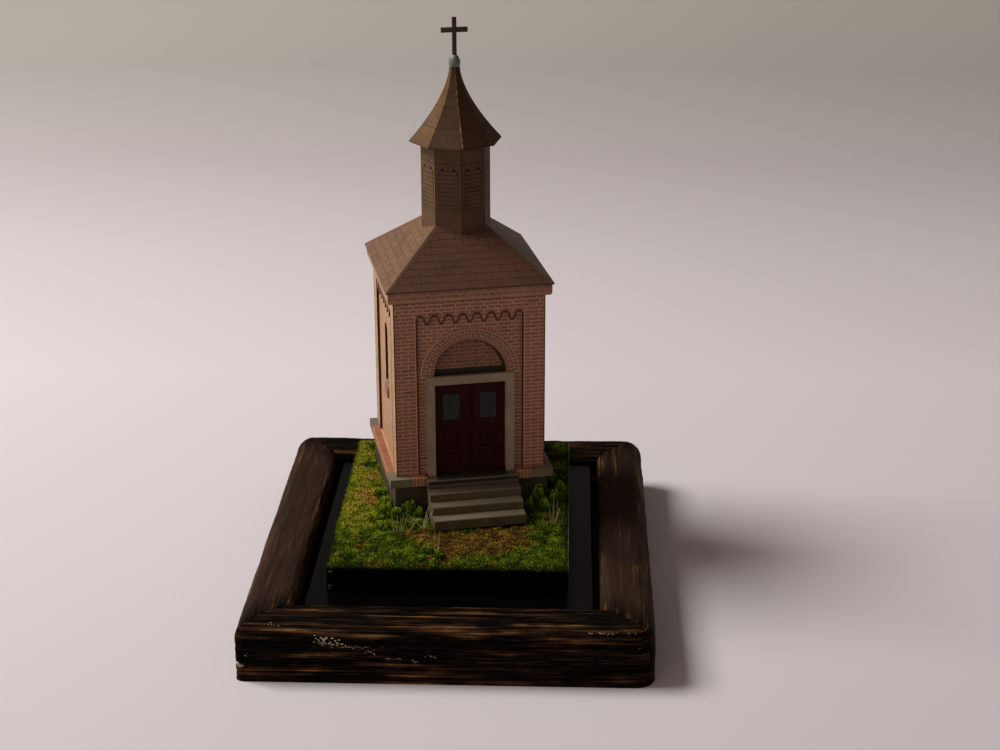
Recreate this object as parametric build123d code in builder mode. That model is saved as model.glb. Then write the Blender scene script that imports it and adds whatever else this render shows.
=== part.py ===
"""Scale model of a small brick chapel with an octagonal turret and a cross, on its wooden display stand.

The front, with the steps and the double door, looks to -Y, Z is up, and the origin is at the middle of
the stand's underside. The chapel stands turned a little on the stand. All lengths are in millimetres.
"""
from build123d import *
import math
import os

# ---- stand ----
stand_width = 100.0
stand_depth = 116.0
rail_width = 13.2
rail_height = 15.2
rail_corner_radius = 5.0
rail_sharp_corner_radius = 2.0
rail_shoulder_radius = 4.6
rail_inner_radius = 3.6
base_board_height = 8.0
ledge_height = 4.6
ledge_gap = 1.4
ledge_edge_radius = 0.8
block_width = 59.3
block_offset_x = -0.7
block_front_margin = 7.8
block_back_margin = 0.8
block_height = 6.2
block_edge = 0.3
turf_thickness = 1.4
turf_set_back = 0.3

# ---- chapel: place on the display block ----
chapel_turn = 13.0
chapel_x = -0.8
chapel_setback = 24.4

# ---- chapel: walls and their raised brick frames ----
field_half = 18.8
wall_thickness = 1.5
wall_height = 47.35
frame_thickness = 0.6
pilaster_width = 5.9
corbel_count = 8
corbel_notch_head = 1.8
corbel_notch_foot = 2.7
corbel_drop = 2.25
corbel_tuck = 0.98
frieze_height = 3.95

# ---- chapel: foundation, plinth course and steps ----
foundation_height = 7.4
foundation_set_back = 1.55
foundation_batter = 0.6
plinth_height = 2.2
plinth_ledge = 1.95
plinth_depth = 4.55
corner_stone = 5.85
step_count = 3
step_rise = 2.18
step_tread = 3.42
step_side = 0.45
step_nosing = 0.25
threshold_drop = 0.45
threshold_ledge = 1.35

# ---- chapel: doorway ----
arch_margin = 1.25
arch_ring_width = 3.0
arch_ring_proud = 0.35
arch_ring_spread = 0.5
arch_stilt = 0.1
arch_clearance = 1.85
surround_width = 2.15
surround_proud = 1.1
lintel_height = 2.2
tympanum_recess = 1.0
tympanum_thickness = 0.5
leaf_recess = 0.6
leaf_gap = 0.06
leaf_light_x = 4.8
leaf_light_half = 2.05
leaf_light_height = 6.85
leaf_head_rail = 3.45
leaf_mid_rail = 1.4
leaf_foot_rail = 2.0
leaf_foot_panel = 3.6
leaf_panel_depth = 0.25
meeting_half = 0.75

# ---- chapel: side windows ----
window_half = 2.2
window_height = 16.5
window_above_plinth = 19.0
window_recess = 0.9
window_thickness = 0.5
sill_side = 0.6
sill_height = 3.6
sill_nose = 2.0
sill_proud = 0.45

# ---- chapel: cornice, roof, turret, spire, finial and cross ----
cornice_height = 3.05
cornice_overhang = 1.5
cornice_seat = 0.6
cornice_round = 0.9
eave_overhang = 0.4
eave_thickness = 0.38
roof_shell = 1.4
roof_pitch = 39.03
turret_radius = 8.9
turret_wall = 1.3
turret_height = 20.56
roof_cap_clearance = 0.37
louvre_half = 2.8
louvre_foot = 3.35
louvre_head = 5.1
louvre_depth = 0.2
spire_overhang = 3.0
spire_lip = 0.35
spire_lip_draft = 0.15
spire_height = 18.35
spire_tip = 1.3
spire_flare = 1.62
spire_rings = 9
finial_swell = 0.15
finial_neck = 0.6
finial_height = 2.9
cross_strip = 1.05
cross_thickness = 0.8
cross_height = 9.3
cross_arm_half = 3.35
cross_arm_up = 6.2
cross_arm_height = 1.2

# ---- worked out from the sizes above: plan ----
rail_inner_x = stand_width / 2 - rail_width
rail_inner_y = stand_depth / 2 - rail_width
ledge_x = rail_inner_x - ledge_gap
ledge_y = rail_inner_y - ledge_gap
mitre_run = (stand_depth - stand_width) / 2
block_left = block_offset_x - block_width / 2
block_right = block_offset_x + block_width / 2
block_front = -ledge_y + block_front_margin
block_back = ledge_y - block_back_margin
chapel_y = block_back - chapel_setback
wall_inner_half = field_half - wall_thickness
frame_half = field_half + frame_thickness
panel_half = frame_half - pilaster_width
corbel_pitch = 2 * (panel_half + corbel_tuck) / corbel_count
plinth_half = frame_half + plinth_ledge
plinth_inner_half = plinth_half - plinth_depth
stone_edge = plinth_half - corner_stone
foundation_top_half = plinth_half - foundation_set_back
foundation_foot_half = foundation_top_half + foundation_batter
opening_half = panel_half - arch_margin - arch_ring_width
arch_ring_outer = opening_half + arch_ring_width
arch_ring_reach = arch_ring_outer + arch_ring_spread
surround_half = opening_half + surround_width
step_half = surround_half + step_side
threshold_front = plinth_half + threshold_ledge
step_bay_back = wall_inner_half + 0.2
cornice_half = frame_half + cornice_overhang
cornice_inner_half = wall_inner_half + cornice_seat
eave_half = cornice_half + eave_overhang
roof_inner_half = eave_half - roof_shell
roof_slope = math.tan(math.radians(roof_pitch))
turret_inner_radius = turret_radius - turret_wall
turret_diagonal = math.cos(math.pi / 4)
turret_apothem = turret_radius * math.cos(math.pi / 8)
roof_cap_half = turret_inner_radius * turret_diagonal - roof_cap_clearance
spire_radius = turret_radius + spire_overhang
finial_radius = spire_tip + finial_swell

# ---- worked out from the sizes above: heights ----
ledge_top = base_board_height + ledge_height
block_top = ledge_top + block_height
turf_top = block_top + turf_thickness
plinth_bottom = turf_top + foundation_height
plinth_top = plinth_bottom + plinth_height
threshold_top = plinth_top - threshold_drop
wall_top = plinth_top + wall_height
corbel_soffit = wall_top - frieze_height
corbel_foot = corbel_soffit - corbel_drop
arch_centre_z = corbel_foot - arch_clearance - arch_ring_outer
surround_top = arch_centre_z - arch_stilt
lintel_bottom = surround_top - lintel_height
leaf_light_top = lintel_bottom - leaf_head_rail
leaf_light_bottom = leaf_light_top - leaf_light_height
leaf_foot_top = threshold_top + leaf_foot_rail + leaf_foot_panel
window_bottom = plinth_top + window_above_plinth
window_top = window_bottom + window_height
cornice_top = wall_top + cornice_height
eave_top = cornice_top + eave_thickness
roof_rise = (eave_half - roof_cap_half) * roof_slope
roof_inner_rise = (roof_inner_half - roof_cap_half) * roof_slope
turret_foot = eave_top + (eave_half - turret_radius) * roof_slope
turret_hip = eave_top + (eave_half - turret_radius * turret_diagonal) * roof_slope
turret_top = turret_hip + turret_height
louvre_bottom = turret_hip + louvre_foot
louvre_top = turret_top - louvre_head
finial_foot = turret_top + spire_lip + spire_height
cross_foot = finial_foot + finial_height
cross_top = cross_foot + cross_height
cross_arm_z = cross_foot + cross_arm_up

os.makedirs("parts", exist_ok=True)

FRONT, RIGHT, BACK, LEFT = range(4)
UP = Vector(0, 0, 1)
tolerance = 0.01
cutter_margin = 1.0


def turned(x, y):
    """A direction of the chapel's own frame in the stand's frame."""
    a = math.radians(chapel_turn)
    return Vector(x * math.cos(a) - y * math.sin(a), x * math.sin(a) + y * math.cos(a), 0)


def level(z):
    """Horizontal plane of the chapel at height z, its X along the front wall."""
    return Plane(origin=(chapel_x, chapel_y, z), x_dir=turned(1, 0), z_dir=UP)


def elevation(side, out):
    """Upright plane of one side, out from the chapel's axis: local X runs right, local Y is height."""
    nx, ny = [(0, -1), (1, 0), (0, 1), (-1, 0)][side]
    normal = turned(nx, ny)
    return Plane(
        origin=Vector(chapel_x, chapel_y, 0) + normal * out,
        x_dir=turned(-ny, nx),
        z_dir=normal,
    )


def section(side):
    """Upright plane through the chapel's axis: local X runs out to one side, local Y is height."""
    nx, ny = [(0, -1), (1, 0), (0, 1), (-1, 0)][side]
    normal = turned(nx, ny)
    return Plane(origin=(chapel_x, chapel_y, 0), x_dir=normal, z_dir=normal.cross(UP))


def facet_plane(angle, out):
    """Upright plane of one turret face whose normal stands at angle in the chapel's frame."""
    a = math.radians(angle)
    normal = turned(math.cos(a), math.sin(a))
    return Plane(
        origin=Vector(chapel_x, chapel_y, 0) + normal * out,
        x_dir=turned(-math.sin(a), math.cos(a)),
        z_dir=normal,
    )


def span(x0, x1, y0, y1):
    """Rectangle between two x and two y values, in the sketch at hand."""
    with Locations(((x0 + x1) / 2, (y0 + y1) / 2)):
        Rectangle(x1 - x0, y1 - y0)


def cut_span(x0, x1, y0, y1):
    with Locations(((x0 + x1) / 2, (y0 + y1) / 2)):
        Rectangle(x1 - x0, y1 - y0, mode=Mode.SUBTRACT)


def octagon(radius):
    """Octagon with a corner on each axis and each diagonal."""
    corners = [(radius * math.cos(k * math.pi / 4), radius * math.sin(k * math.pi / 4)) for k in range(8)]
    Polygon(*corners, align=(Align.NONE, Align.NONE))


def round_headed(half, bottom, top):
    """Round-headed opening of the given half width, from bottom to crown."""
    with Locations((0, top - half)):
        Circle(half)
    cut_span(-half, half, top - 2 * half, top - half)
    span(-half, half, bottom, top - half)


def save(part, name):
    part.label = name
    export_step(part, f"parts/{name}.step")


# ---- the stand's four mitred rails, cut from one moulded frame ----
def stand_rail(side):
    front_left = (-stand_width / 2, -stand_depth / 2)
    with BuildPart() as rail:
        with BuildSketch(Plane.XY) as outline:
            Rectangle(stand_width, stand_depth)
            fillet(outline.vertices().sort_by_distance(front_left)[:1], rail_sharp_corner_radius)
            fillet(outline.vertices().sort_by_distance(front_left)[2:], rail_corner_radius)
        extrude(amount=rail_height)
        fillet(rail.faces().sort_by(Axis.Z)[-1].edges(), rail_shoulder_radius)
        with BuildSketch(Plane.XY):
            Rectangle(2 * rail_inner_x, 2 * rail_inner_y)
        extrude(amount=rail_height, mode=Mode.SUBTRACT)
        rim = rail.edges().filter_by(Plane.XY).group_by(Axis.Z)[-1]
        reach_x = rail_inner_x + tolerance
        reach_y = rail_inner_y + tolerance
        inner = rim.filter_by_position(Axis.X, -reach_x, reach_x).filter_by_position(Axis.Y, -reach_y, reach_y)
        fillet(inner, rail_inner_radius)
        with BuildSketch(Plane.XY):
            hx = stand_width / 2 + cutter_margin
            hy = stand_depth / 2 + cutter_margin
            wedges = {
                "front": [(0, -mitre_run), (hx, -hy), (-hx, -hy)],
                "back": [(0, mitre_run), (hx, hy), (-hx, hy)],
                "right": [(0, -mitre_run), (hx, -hy), (hx, hy), (0, mitre_run)],
                "left": [(0, -mitre_run), (-hx, -hy), (-hx, hy), (0, mitre_run)],
            }
            with BuildLine():
                Polyline(*wedges[side], close=True)
            make_face()
        extrude(amount=rail_height + cutter_margin, mode=Mode.INTERSECT)
    return rail.part


for side in ("front", "right", "back", "left"):
    save(stand_rail(side), f"stand_rail_{side}")

# ---- board between the rails, ledge, display block, turf ----
with BuildPart() as stand_base_board:
    with BuildSketch(Plane.XY):
        Rectangle(2 * rail_inner_x, 2 * rail_inner_y)
    extrude(amount=base_board_height)
save(stand_base_board.part, "stand_base_board")

with BuildPart() as stand_ledge:
    with BuildSketch(Plane.XY.offset(base_board_height)):
        Rectangle(2 * ledge_x, 2 * ledge_y)
    extrude(amount=ledge_top - base_board_height)
    fillet(stand_ledge.faces().sort_by(Axis.Z)[-1].edges(), ledge_edge_radius)
save(stand_ledge.part, "stand_ledge")

with BuildPart() as stand_block:
    with BuildSketch(Plane.XY.offset(ledge_top)):
        span(block_left, block_right, block_front, block_back)
    extrude(amount=block_top - ledge_top)
    chamfer(stand_block.edges().filter_by(Axis.Z), block_edge)
save(stand_block.part, "stand_block")

with BuildPart() as groundwork:
    with BuildSketch(Plane.XY.offset(block_top)):
        span(
            block_left + turf_set_back,
            block_right - turf_set_back,
            block_front + turf_set_back,
            block_back - turf_set_back,
        )
    extrude(amount=turf_thickness)
    fillet(groundwork.faces().sort_by(Axis.Z)[-1].edges(), turf_thickness / 2)
save(groundwork.part, "groundwork")

# ---- battered foundation with a bay for the steps ----
with BuildPart() as foundation:
    with BuildSketch(level(turf_top)):
        Rectangle(2 * foundation_foot_half, 2 * foundation_foot_half)
    extrude(amount=foundation_height, taper=math.degrees(math.atan(foundation_batter / foundation_height)))
    with BuildSketch(level(turf_top)):
        span(-step_half, step_half, -foundation_foot_half - cutter_margin, -step_bay_back)
    extrude(amount=plinth_bottom - turf_top, mode=Mode.SUBTRACT)
save(foundation.part, "foundation")

# ---- plinth course: four corner stones and the runs of brick between them ----
def plinth_piece(x0, x1, y0, y1):
    with BuildPart() as piece:
        with BuildSketch(level(plinth_bottom)):
            span(x0, x1, y0, y1)
        extrude(amount=plinth_height)
    return piece.part


for name, sx, sy in (("front_left", -1, -1), ("front_right", 1, -1), ("back_right", 1, 1), ("back_left", -1, 1)):
    xs = sorted((sx * stone_edge, sx * plinth_half))
    ys = sorted((sy * stone_edge, sy * plinth_half))
    save(plinth_piece(xs[0], xs[1], ys[0], ys[1]), f"corner_stone_{name}")

save(plinth_piece(-stone_edge, -step_half, -plinth_half, -plinth_inner_half), "brick_course_front_left")
save(plinth_piece(step_half, stone_edge, -plinth_half, -plinth_inner_half), "brick_course_front_right")
save(plinth_piece(plinth_inner_half, plinth_half, -stone_edge, stone_edge), "brick_course_right")
save(plinth_piece(-plinth_half, -plinth_inner_half, -stone_edge, stone_edge), "brick_course_left")
save(plinth_piece(-stone_edge, stone_edge, plinth_inner_half, plinth_half), "brick_course_back")

# ---- steps ----
for k, name in enumerate(["step_lower", "step_middle", "step_upper", "threshold"]):
    above = step_count - k
    top = threshold_top - step_rise * above
    bottom = top - step_rise if k else turf_top
    front = threshold_front + step_tread * above
    with BuildPart() as step:
        with BuildSketch(level(bottom)):
            span(-step_half, step_half, -front, -step_bay_back)
        extrude(amount=top - bottom)
        fillet(step.edges().filter_by(Plane.XY).group_by(Axis.Z)[-1].sort_by(Axis.Y)[0], step_nosing)
    save(step.part, name)


# ---- walls ----
def wall(side, half, cutter):
    with BuildPart() as panel:
        with BuildSketch(elevation(side, field_half)):
            span(-half, half, plinth_top, wall_top)
        extrude(amount=-wall_thickness)
        if cutter:
            with BuildSketch(elevation(side, field_half)):
                round_headed(*cutter)
            extrude(amount=-wall_thickness, mode=Mode.SUBTRACT)
    return panel.part


door_cut = (opening_half, plinth_top, arch_centre_z + opening_half)
window_cut = (window_half, window_bottom, window_top)
save(wall(FRONT, field_half, door_cut), "front_wall")
save(wall(BACK, field_half, None), "back_wall")
save(wall(LEFT, wall_inner_half, window_cut), "left_wall")
save(wall(RIGHT, wall_inner_half, window_cut), "right_wall")


# ---- one brick frame on each side: two corner pilasters joined by a table of small arches ----
def brick_frame(side, half):
    head = corbel_notch_head / 2
    foot = corbel_notch_foot / 2
    notch_centre = corbel_soffit - head
    with BuildPart() as frame:
        with BuildSketch(elevation(side, field_half)):
            span(-half, half, plinth_top, wall_top)
            cut_span(-panel_half, panel_half, plinth_top, corbel_foot)
            for k in range(corbel_count):
                x = (k - (corbel_count - 1) / 2) * corbel_pitch
                with Locations((x, notch_centre)):
                    Circle(head, mode=Mode.SUBTRACT)
                Polygon(
                    (x - head, notch_centre),
                    (x - foot, corbel_foot),
                    (x + foot, corbel_foot),
                    (x + head, notch_centre),
                    align=(Align.NONE, Align.NONE),
                    mode=Mode.SUBTRACT,
                )
            span(-half, -panel_half, plinth_top, wall_top)
            span(panel_half, half, plinth_top, wall_top)
        extrude(amount=frame_thickness)
    return frame.part


save(brick_frame(FRONT, frame_half), "front_frame")
save(brick_frame(BACK, frame_half), "back_frame")
save(brick_frame(LEFT, field_half), "left_frame")
save(brick_frame(RIGHT, field_half), "right_frame")

# ---- doorway: brick arch, stone surround, brick tympanum, two leaves ----
with BuildPart() as arch_ring:
    with BuildSketch(elevation(FRONT, field_half)):
        with Locations((0, arch_centre_z)):
            Ellipse(arch_ring_reach, arch_ring_outer)
            Circle(opening_half, mode=Mode.SUBTRACT)
        cut_span(-arch_ring_reach, arch_ring_reach, arch_centre_z - arch_ring_outer, arch_centre_z)
        span(-arch_ring_reach, -opening_half, surround_top, arch_centre_z)
        span(opening_half, arch_ring_reach, surround_top, arch_centre_z)
    extrude(amount=arch_ring_proud)
save(arch_ring.part, "arch_ring")

with BuildPart() as door_surround:
    with BuildSketch(elevation(FRONT, field_half)):
        span(-surround_half, surround_half, threshold_top, surround_top)
        cut_span(-opening_half, opening_half, threshold_top, lintel_bottom)
    extrude(amount=surround_proud)
save(door_surround.part, "door_surround")

with BuildPart() as tympanum:
    with BuildSketch(elevation(FRONT, field_half - tympanum_recess)):
        round_headed(opening_half, lintel_bottom, arch_centre_z + opening_half)
    extrude(amount=-tympanum_thickness)
save(tympanum.part, "tympanum")

leaf_out = field_half - leaf_recess
leaf_thickness = leaf_out - wall_inner_half


def door_leaf(sign):
    with BuildPart() as leaf:
        with BuildSketch(elevation(FRONT, leaf_out)):
            xs = sorted((sign * leaf_gap / 2, sign * (opening_half - leaf_gap)))
            span(xs[0], xs[1], threshold_top, lintel_bottom)
        extrude(amount=-leaf_thickness)
        with BuildSketch(elevation(FRONT, leaf_out)):
            xs = sorted((sign * (leaf_light_x - leaf_light_half), sign * (leaf_light_x + leaf_light_half)))
            span(xs[0], xs[1], leaf_light_bottom, leaf_light_top)
            span(xs[0], xs[1], threshold_top + leaf_foot_rail, leaf_foot_top)
            span(xs[0], xs[1], leaf_foot_top + leaf_mid_rail, leaf_light_bottom - leaf_mid_rail)
        extrude(amount=-leaf_panel_depth, mode=Mode.SUBTRACT)
        if sign > 0:
            with BuildSketch(elevation(FRONT, leaf_out)):
                span(leaf_gap / 2, meeting_half, threshold_top, lintel_bottom)
            extrude(amount=leaf_panel_depth)
    return leaf.part


save(door_leaf(-1), "door_leaf_left")
save(door_leaf(1), "door_leaf_right")

# ---- side windows and their sills ----
for side, name in ((LEFT, "left"), (RIGHT, "right")):
    with BuildPart() as window:
        with BuildSketch(elevation(side, field_half - window_recess)):
            round_headed(*window_cut)
        extrude(amount=-window_thickness)
    save(window.part, f"window_{name}")

    with BuildPart() as sill:
        with BuildSketch(section(side)):
            with BuildLine():
                Polyline(
                    (field_half, window_bottom - sill_height),
                    (field_half + sill_proud, window_bottom - sill_height),
                    (field_half + sill_proud, window_bottom - sill_height + sill_nose),
                    (field_half, window_bottom),
                    close=True,
                )
            make_face()
        extrude(amount=window_half + sill_side, both=True)
    save(sill.part, f"sill_{name}")

# ---- cornice ----
with BuildPart() as cornice:
    with BuildSketch(level(wall_top)):
        Rectangle(2 * cornice_half, 2 * cornice_half)
    extrude(amount=cornice_height)
    fillet(cornice.faces().sort_by(Axis.Z)[0].edges(), cornice_round)
    with BuildSketch(level(wall_top)):
        Rectangle(2 * cornice_inner_half, 2 * cornice_inner_half)
    extrude(amount=cornice_top - wall_top, mode=Mode.SUBTRACT)
save(cornice.part, "cornice")

# ---- hipped roof, one folded shell ----
with BuildPart() as roof:
    with BuildSketch(level(cornice_top)):
        Rectangle(2 * eave_half, 2 * eave_half)
    extrude(amount=eave_top - cornice_top)
    with BuildSketch(level(eave_top)):
        Rectangle(2 * eave_half, 2 * eave_half)
    extrude(amount=roof_rise, taper=90 - roof_pitch)
    with BuildSketch(level(cornice_top)):
        Rectangle(2 * roof_inner_half, 2 * roof_inner_half)
    extrude(amount=roof_inner_rise, taper=90 - roof_pitch, mode=Mode.SUBTRACT)
save(roof.part, "roof")

# ---- octagonal turret standing on the roof, a louvred arch in each face ----
with BuildPart() as turret:
    with BuildSketch(level(turret_foot)):
        octagon(turret_radius)
    extrude(amount=turret_top - turret_foot)
    with BuildSketch(level(eave_top)):
        Rectangle(2 * eave_half, 2 * eave_half)
    extrude(amount=roof_rise, taper=90 - roof_pitch, mode=Mode.SUBTRACT)
    with BuildSketch(level(turret_foot)):
        octagon(turret_inner_radius)
    extrude(amount=turret_top - turret_foot, mode=Mode.SUBTRACT)
    for k in range(8):
        with BuildSketch(facet_plane(45 * k + 22.5, turret_apothem)):
            round_headed(louvre_half, louvre_bottom, louvre_top)
        extrude(amount=-louvre_depth, mode=Mode.SUBTRACT)
save(turret.part, "turret")

# ---- spire: flared octagon drawn in to a point ----
with BuildPart() as spire:
    with BuildSketch(level(turret_top)):
        octagon(spire_radius)
    for k in range(spire_rings + 1):
        share = k / spire_rings
        radius = spire_tip + (spire_radius - spire_lip_draft - spire_tip) * (1 - share) ** spire_flare
        with BuildSketch(level(turret_top + spire_lip + spire_height * share)):
            octagon(radius)
    loft(ruled=True)
save(spire.part, "spire")

# ---- finial and cross ----
with BuildPart() as finial:
    with BuildSketch(section(FRONT)):
        with BuildLine():
            Polyline((0, finial_foot + finial_height), (0, finial_foot), (spire_tip, finial_foot))
            Spline(
                (spire_tip, finial_foot),
                (finial_radius, finial_foot + finial_height * 0.3),
                (finial_neck, finial_foot + finial_height),
            )
            Line((finial_neck, finial_foot + finial_height), (0, finial_foot + finial_height))
        make_face()
    revolve(axis=Axis((chapel_x, chapel_y, 0), (0, 0, 1)))
save(finial.part, "finial")

with BuildPart() as cross:
    with BuildSketch(elevation(FRONT, -cross_thickness / 2)):
        span(-cross_strip / 2, cross_strip / 2, cross_foot, cross_top)
        span(
            -cross_arm_half,
            cross_arm_half,
            cross_arm_z - cross_arm_height / 2,
            cross_arm_z + cross_arm_height / 2,
        )
    extrude(amount=cross_thickness)
save(cross.part, "cross")
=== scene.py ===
"""Finish of a small brick chapel model on its wooden display stand.

All places are in metres in the frame's axes. Sizes of the model are written in millimetres times MM.
The chapel is turned on its stand, so its parts are laid out on upright planes of its own: on such a
plane u runs right, v is the height and w stands out from the chapel's axis.
"""
import math
import random

import bpy
import bmesh
from mathutils import Euler, Matrix, Vector, noise


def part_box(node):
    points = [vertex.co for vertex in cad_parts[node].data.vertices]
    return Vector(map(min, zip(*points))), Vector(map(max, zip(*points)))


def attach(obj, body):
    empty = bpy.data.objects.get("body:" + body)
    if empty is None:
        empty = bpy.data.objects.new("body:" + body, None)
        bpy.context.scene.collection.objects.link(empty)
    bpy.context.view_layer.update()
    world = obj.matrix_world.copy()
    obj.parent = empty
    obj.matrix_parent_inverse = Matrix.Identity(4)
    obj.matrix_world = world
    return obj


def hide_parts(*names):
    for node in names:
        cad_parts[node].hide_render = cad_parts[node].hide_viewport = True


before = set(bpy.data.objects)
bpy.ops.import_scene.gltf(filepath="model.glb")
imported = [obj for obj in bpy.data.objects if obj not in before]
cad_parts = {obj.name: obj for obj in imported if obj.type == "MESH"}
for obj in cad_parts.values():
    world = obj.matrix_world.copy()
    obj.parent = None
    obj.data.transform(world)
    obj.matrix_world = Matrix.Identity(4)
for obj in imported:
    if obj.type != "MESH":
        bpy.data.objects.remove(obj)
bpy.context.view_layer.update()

MM = 0.001
BODY = "root"


def low(node):
    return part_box(node)[0]


def high(node):
    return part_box(node)[1]


def square_half(node):
    """Half the side of a piece that is square in plan and turned with the chapel."""
    return (high(node).x - low(node).x) / SPREAD


# ---- places taken from the frame, and the model's own widths ----
TURN = math.radians(13.0)
SPREAD = 2 * (math.cos(TURN) + math.sin(TURN))
WINDOW_SIDE = (-math.cos(TURN), -math.sin(TURN), 0.0)
FRONT, RIGHT, BACK, LEFT = range(4)
SIDES = ((FRONT, "front"), (RIGHT, "right"), (BACK, "back"), (LEFT, "left"))
AXIS = (low("turret") + high("turret")) / 2
# Brick frame and the set-back field; a half is measured out from the axis.
FRAME_HALF = 19.4 * MM
FIELD_HALF = FRAME_HALF - 0.6 * MM
PANEL_HALF = FRAME_HALF - 5.9 * MM
PLINTH_HALF = FRAME_HALF + 1.95 * MM
STONE_EDGE = PLINTH_HALF - 5.85 * MM
# Doorway, the ring of its arch, the surround and the steps.
OPENING_HALF = 9.25 * MM
RING_OUTER = OPENING_HALF + 3.0 * MM
RING_REACH = RING_OUTER + 0.5 * MM
RING_PROUD = 0.35 * MM
SURROUND_HALF = OPENING_HALF + 2.15 * MM
STEP_HALF = SURROUND_HALF + 0.45 * MM
STEP_FRONT = PLINTH_HALF + 1.35 * MM
STEP_TREAD = 3.42 * MM
STEP_RISE = 2.18 * MM
EAVE_HALF = square_half("roof")
CORNICE_HALF = square_half("cornice")
PLINTH_BOTTOM = low("corner_stone_front_left").z
PLINTH_TOP = high("corner_stone_front_left").z
WALL_TOP = high("front_wall").z
CORNICE_TOP = high("cornice").z
# Table of small arches: their crowns, the corbels' feet and the two half widths of a notch.
CORBEL_SOFFIT = WALL_TOP - 3.95 * MM
CORBEL_FOOT = CORBEL_SOFFIT - 2.25 * MM
CORBEL_COUNT = 8
CORBEL_PITCH = 2 * (PANEL_HALF + 0.98 * MM) / CORBEL_COUNT
NOTCH_HEAD = 0.9 * MM
NOTCH_FOOT = 1.35 * MM
ARCH_CENTRE = high("tympanum").z - OPENING_HALF
TYMPANUM_OUT = FIELD_HALF - 1.0 * MM
RING_OUT = FIELD_HALF + RING_PROUD
SURROUND_TOP = high("door_surround").z
LINTEL_BOTTOM = low("tympanum").z
LEAF_FOOT = low("door_leaf_left").z
LEAF_OUT = FIELD_HALF - 0.6 * MM
LEAF_RELIEF = 0.25 * MM
LIGHT_X = 4.8 * MM
LIGHT_TOP = LINTEL_BOTTOM - 3.45 * MM
LIGHT_BOTTOM = LIGHT_TOP - 6.85 * MM
THRESHOLD_TOP = low("door_surround").z
WINDOW_HALF = 2.2 * MM
WINDOW_BOTTOM = low("window_left").z
WINDOW_TOP = high("window_left").z
ROOF_PITCH = math.radians(39.03)
EAVE_TOP = CORNICE_TOP + 0.38 * MM
TURRET_RADIUS = 8.9 * MM
TURRET_APOTHEM = TURRET_RADIUS * math.cos(math.pi / 8)
TURRET_TOP = low("spire").z
TURRET_HIP = EAVE_TOP + (EAVE_HALF - TURRET_RADIUS * math.cos(math.pi / 4)) * math.tan(ROOF_PITCH)
SPIRE_RADIUS = TURRET_RADIUS + 3.0 * MM
BLOCK_TOP = high("stand_block").z
TURF_LOW = low("groundwork")
TURF_HIGH = high("groundwork")
STAND_HALF_X = high("stand_rail_right").x
STAND_HALF_Y = high("stand_rail_back").y
RAIL_WIDTH = 13.2 * MM
RAIL_HEIGHT = high("stand_rail_front").z


def turned(x, y):
    return Vector((x * math.cos(TURN) - y * math.sin(TURN), x * math.sin(TURN) + y * math.cos(TURN), 0))


def upright(angle, out):
    """Matrix of an upright plane whose normal stands at an angle in the chapel's own axes."""
    normal = turned(math.cos(angle), math.sin(angle))
    along = turned(-math.sin(angle), math.cos(angle))
    rows = Matrix((along, Vector((0, 0, 1)), normal)).transposed().to_4x4()
    return Matrix.Translation(Vector((AXIS.x, AXIS.y, 0)) + normal * out) @ rows


def elevation(side, out):
    return upright(math.radians(90 * side - 90), out)


def lying(side, out, height):
    """Matrix of a level plane at a height: u along the side, v in from its edge, w up."""
    return elevation(side, out) @ Matrix.Translation((0, height, 0)) @ Matrix.Rotation(-math.pi / 2, 4, "X")


# ---- materials ----
def linear(code):
    """Linear colour of an sRGB hex value."""
    parts = [int(code[i:i + 2], 16) / 255 for i in (1, 3, 5)]
    return tuple(c / 12.92 if c <= 0.04045 else ((c + 0.055) / 1.055) ** 2.4 for c in parts) + (1.0,)


def add(tree, kind, inputs=(), stops=(), **settings):
    """Adds a node: inputs maps a socket to a value, a hex colour or another node's output."""
    node = tree.nodes.new(kind)
    for key, value in settings.items():
        setattr(node, key, value)
    for key, value in dict(inputs).items():
        if isinstance(value, bpy.types.NodeSocket):
            tree.links.new(value, node.inputs[key])
        else:
            coloured = isinstance(value, str) and value.startswith("#")
            node.inputs[key].default_value = linear(value) if coloured else value
    for index, (share, code) in enumerate(stops):
        elements = node.color_ramp.elements
        element = elements[index] if index < 2 else elements.new(share)
        element.position = share
        element.color = linear(code)
    return node


def finish(name, roughness, specular=0.5, **shader):
    """A new material with its node tree and Principled node; shader names its other plain sockets."""
    material = bpy.data.materials.new(name)
    material.use_nodes = True
    tree = material.node_tree
    bsdf = tree.nodes["Principled BSDF"]
    bsdf.inputs["Roughness"].default_value = roughness
    bsdf.inputs["Specular IOR Level"].default_value = specular
    for key, value in shader.items():
        bsdf.inputs[key.replace("_", " ").title()].default_value = value
    return material, tree, bsdf


def mottle(tree, size, detail=4.0, stretch=(1, 1, 1)):
    """Cloudy pattern in Object coordinates whose patches are about size across."""
    coords = add(tree, "ShaderNodeTexCoord")
    placed = add(tree, "ShaderNodeMapping", {
        "Vector": coords.outputs["Object"], "Scale": [1 / (size * s) for s in stretch],
    })
    return add(tree, "ShaderNodeTexNoise", {
        "Vector": placed.outputs[0], "Scale": 1.0, "Detail": detail, "Roughness": 0.6,
    }).outputs["Fac"]


def surface(tree, bsdf, colour, height, depth, strength=0.5):
    """Joins a colour and a relief of the given depth to the shader."""
    relief = add(tree, "ShaderNodeBump", {"Height": height, "Distance": depth, "Strength": strength})
    tree.links.new(colour, bsdf.inputs["Base Color"])
    tree.links.new(relief.outputs[0], bsdf.inputs["Normal"])


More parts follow.
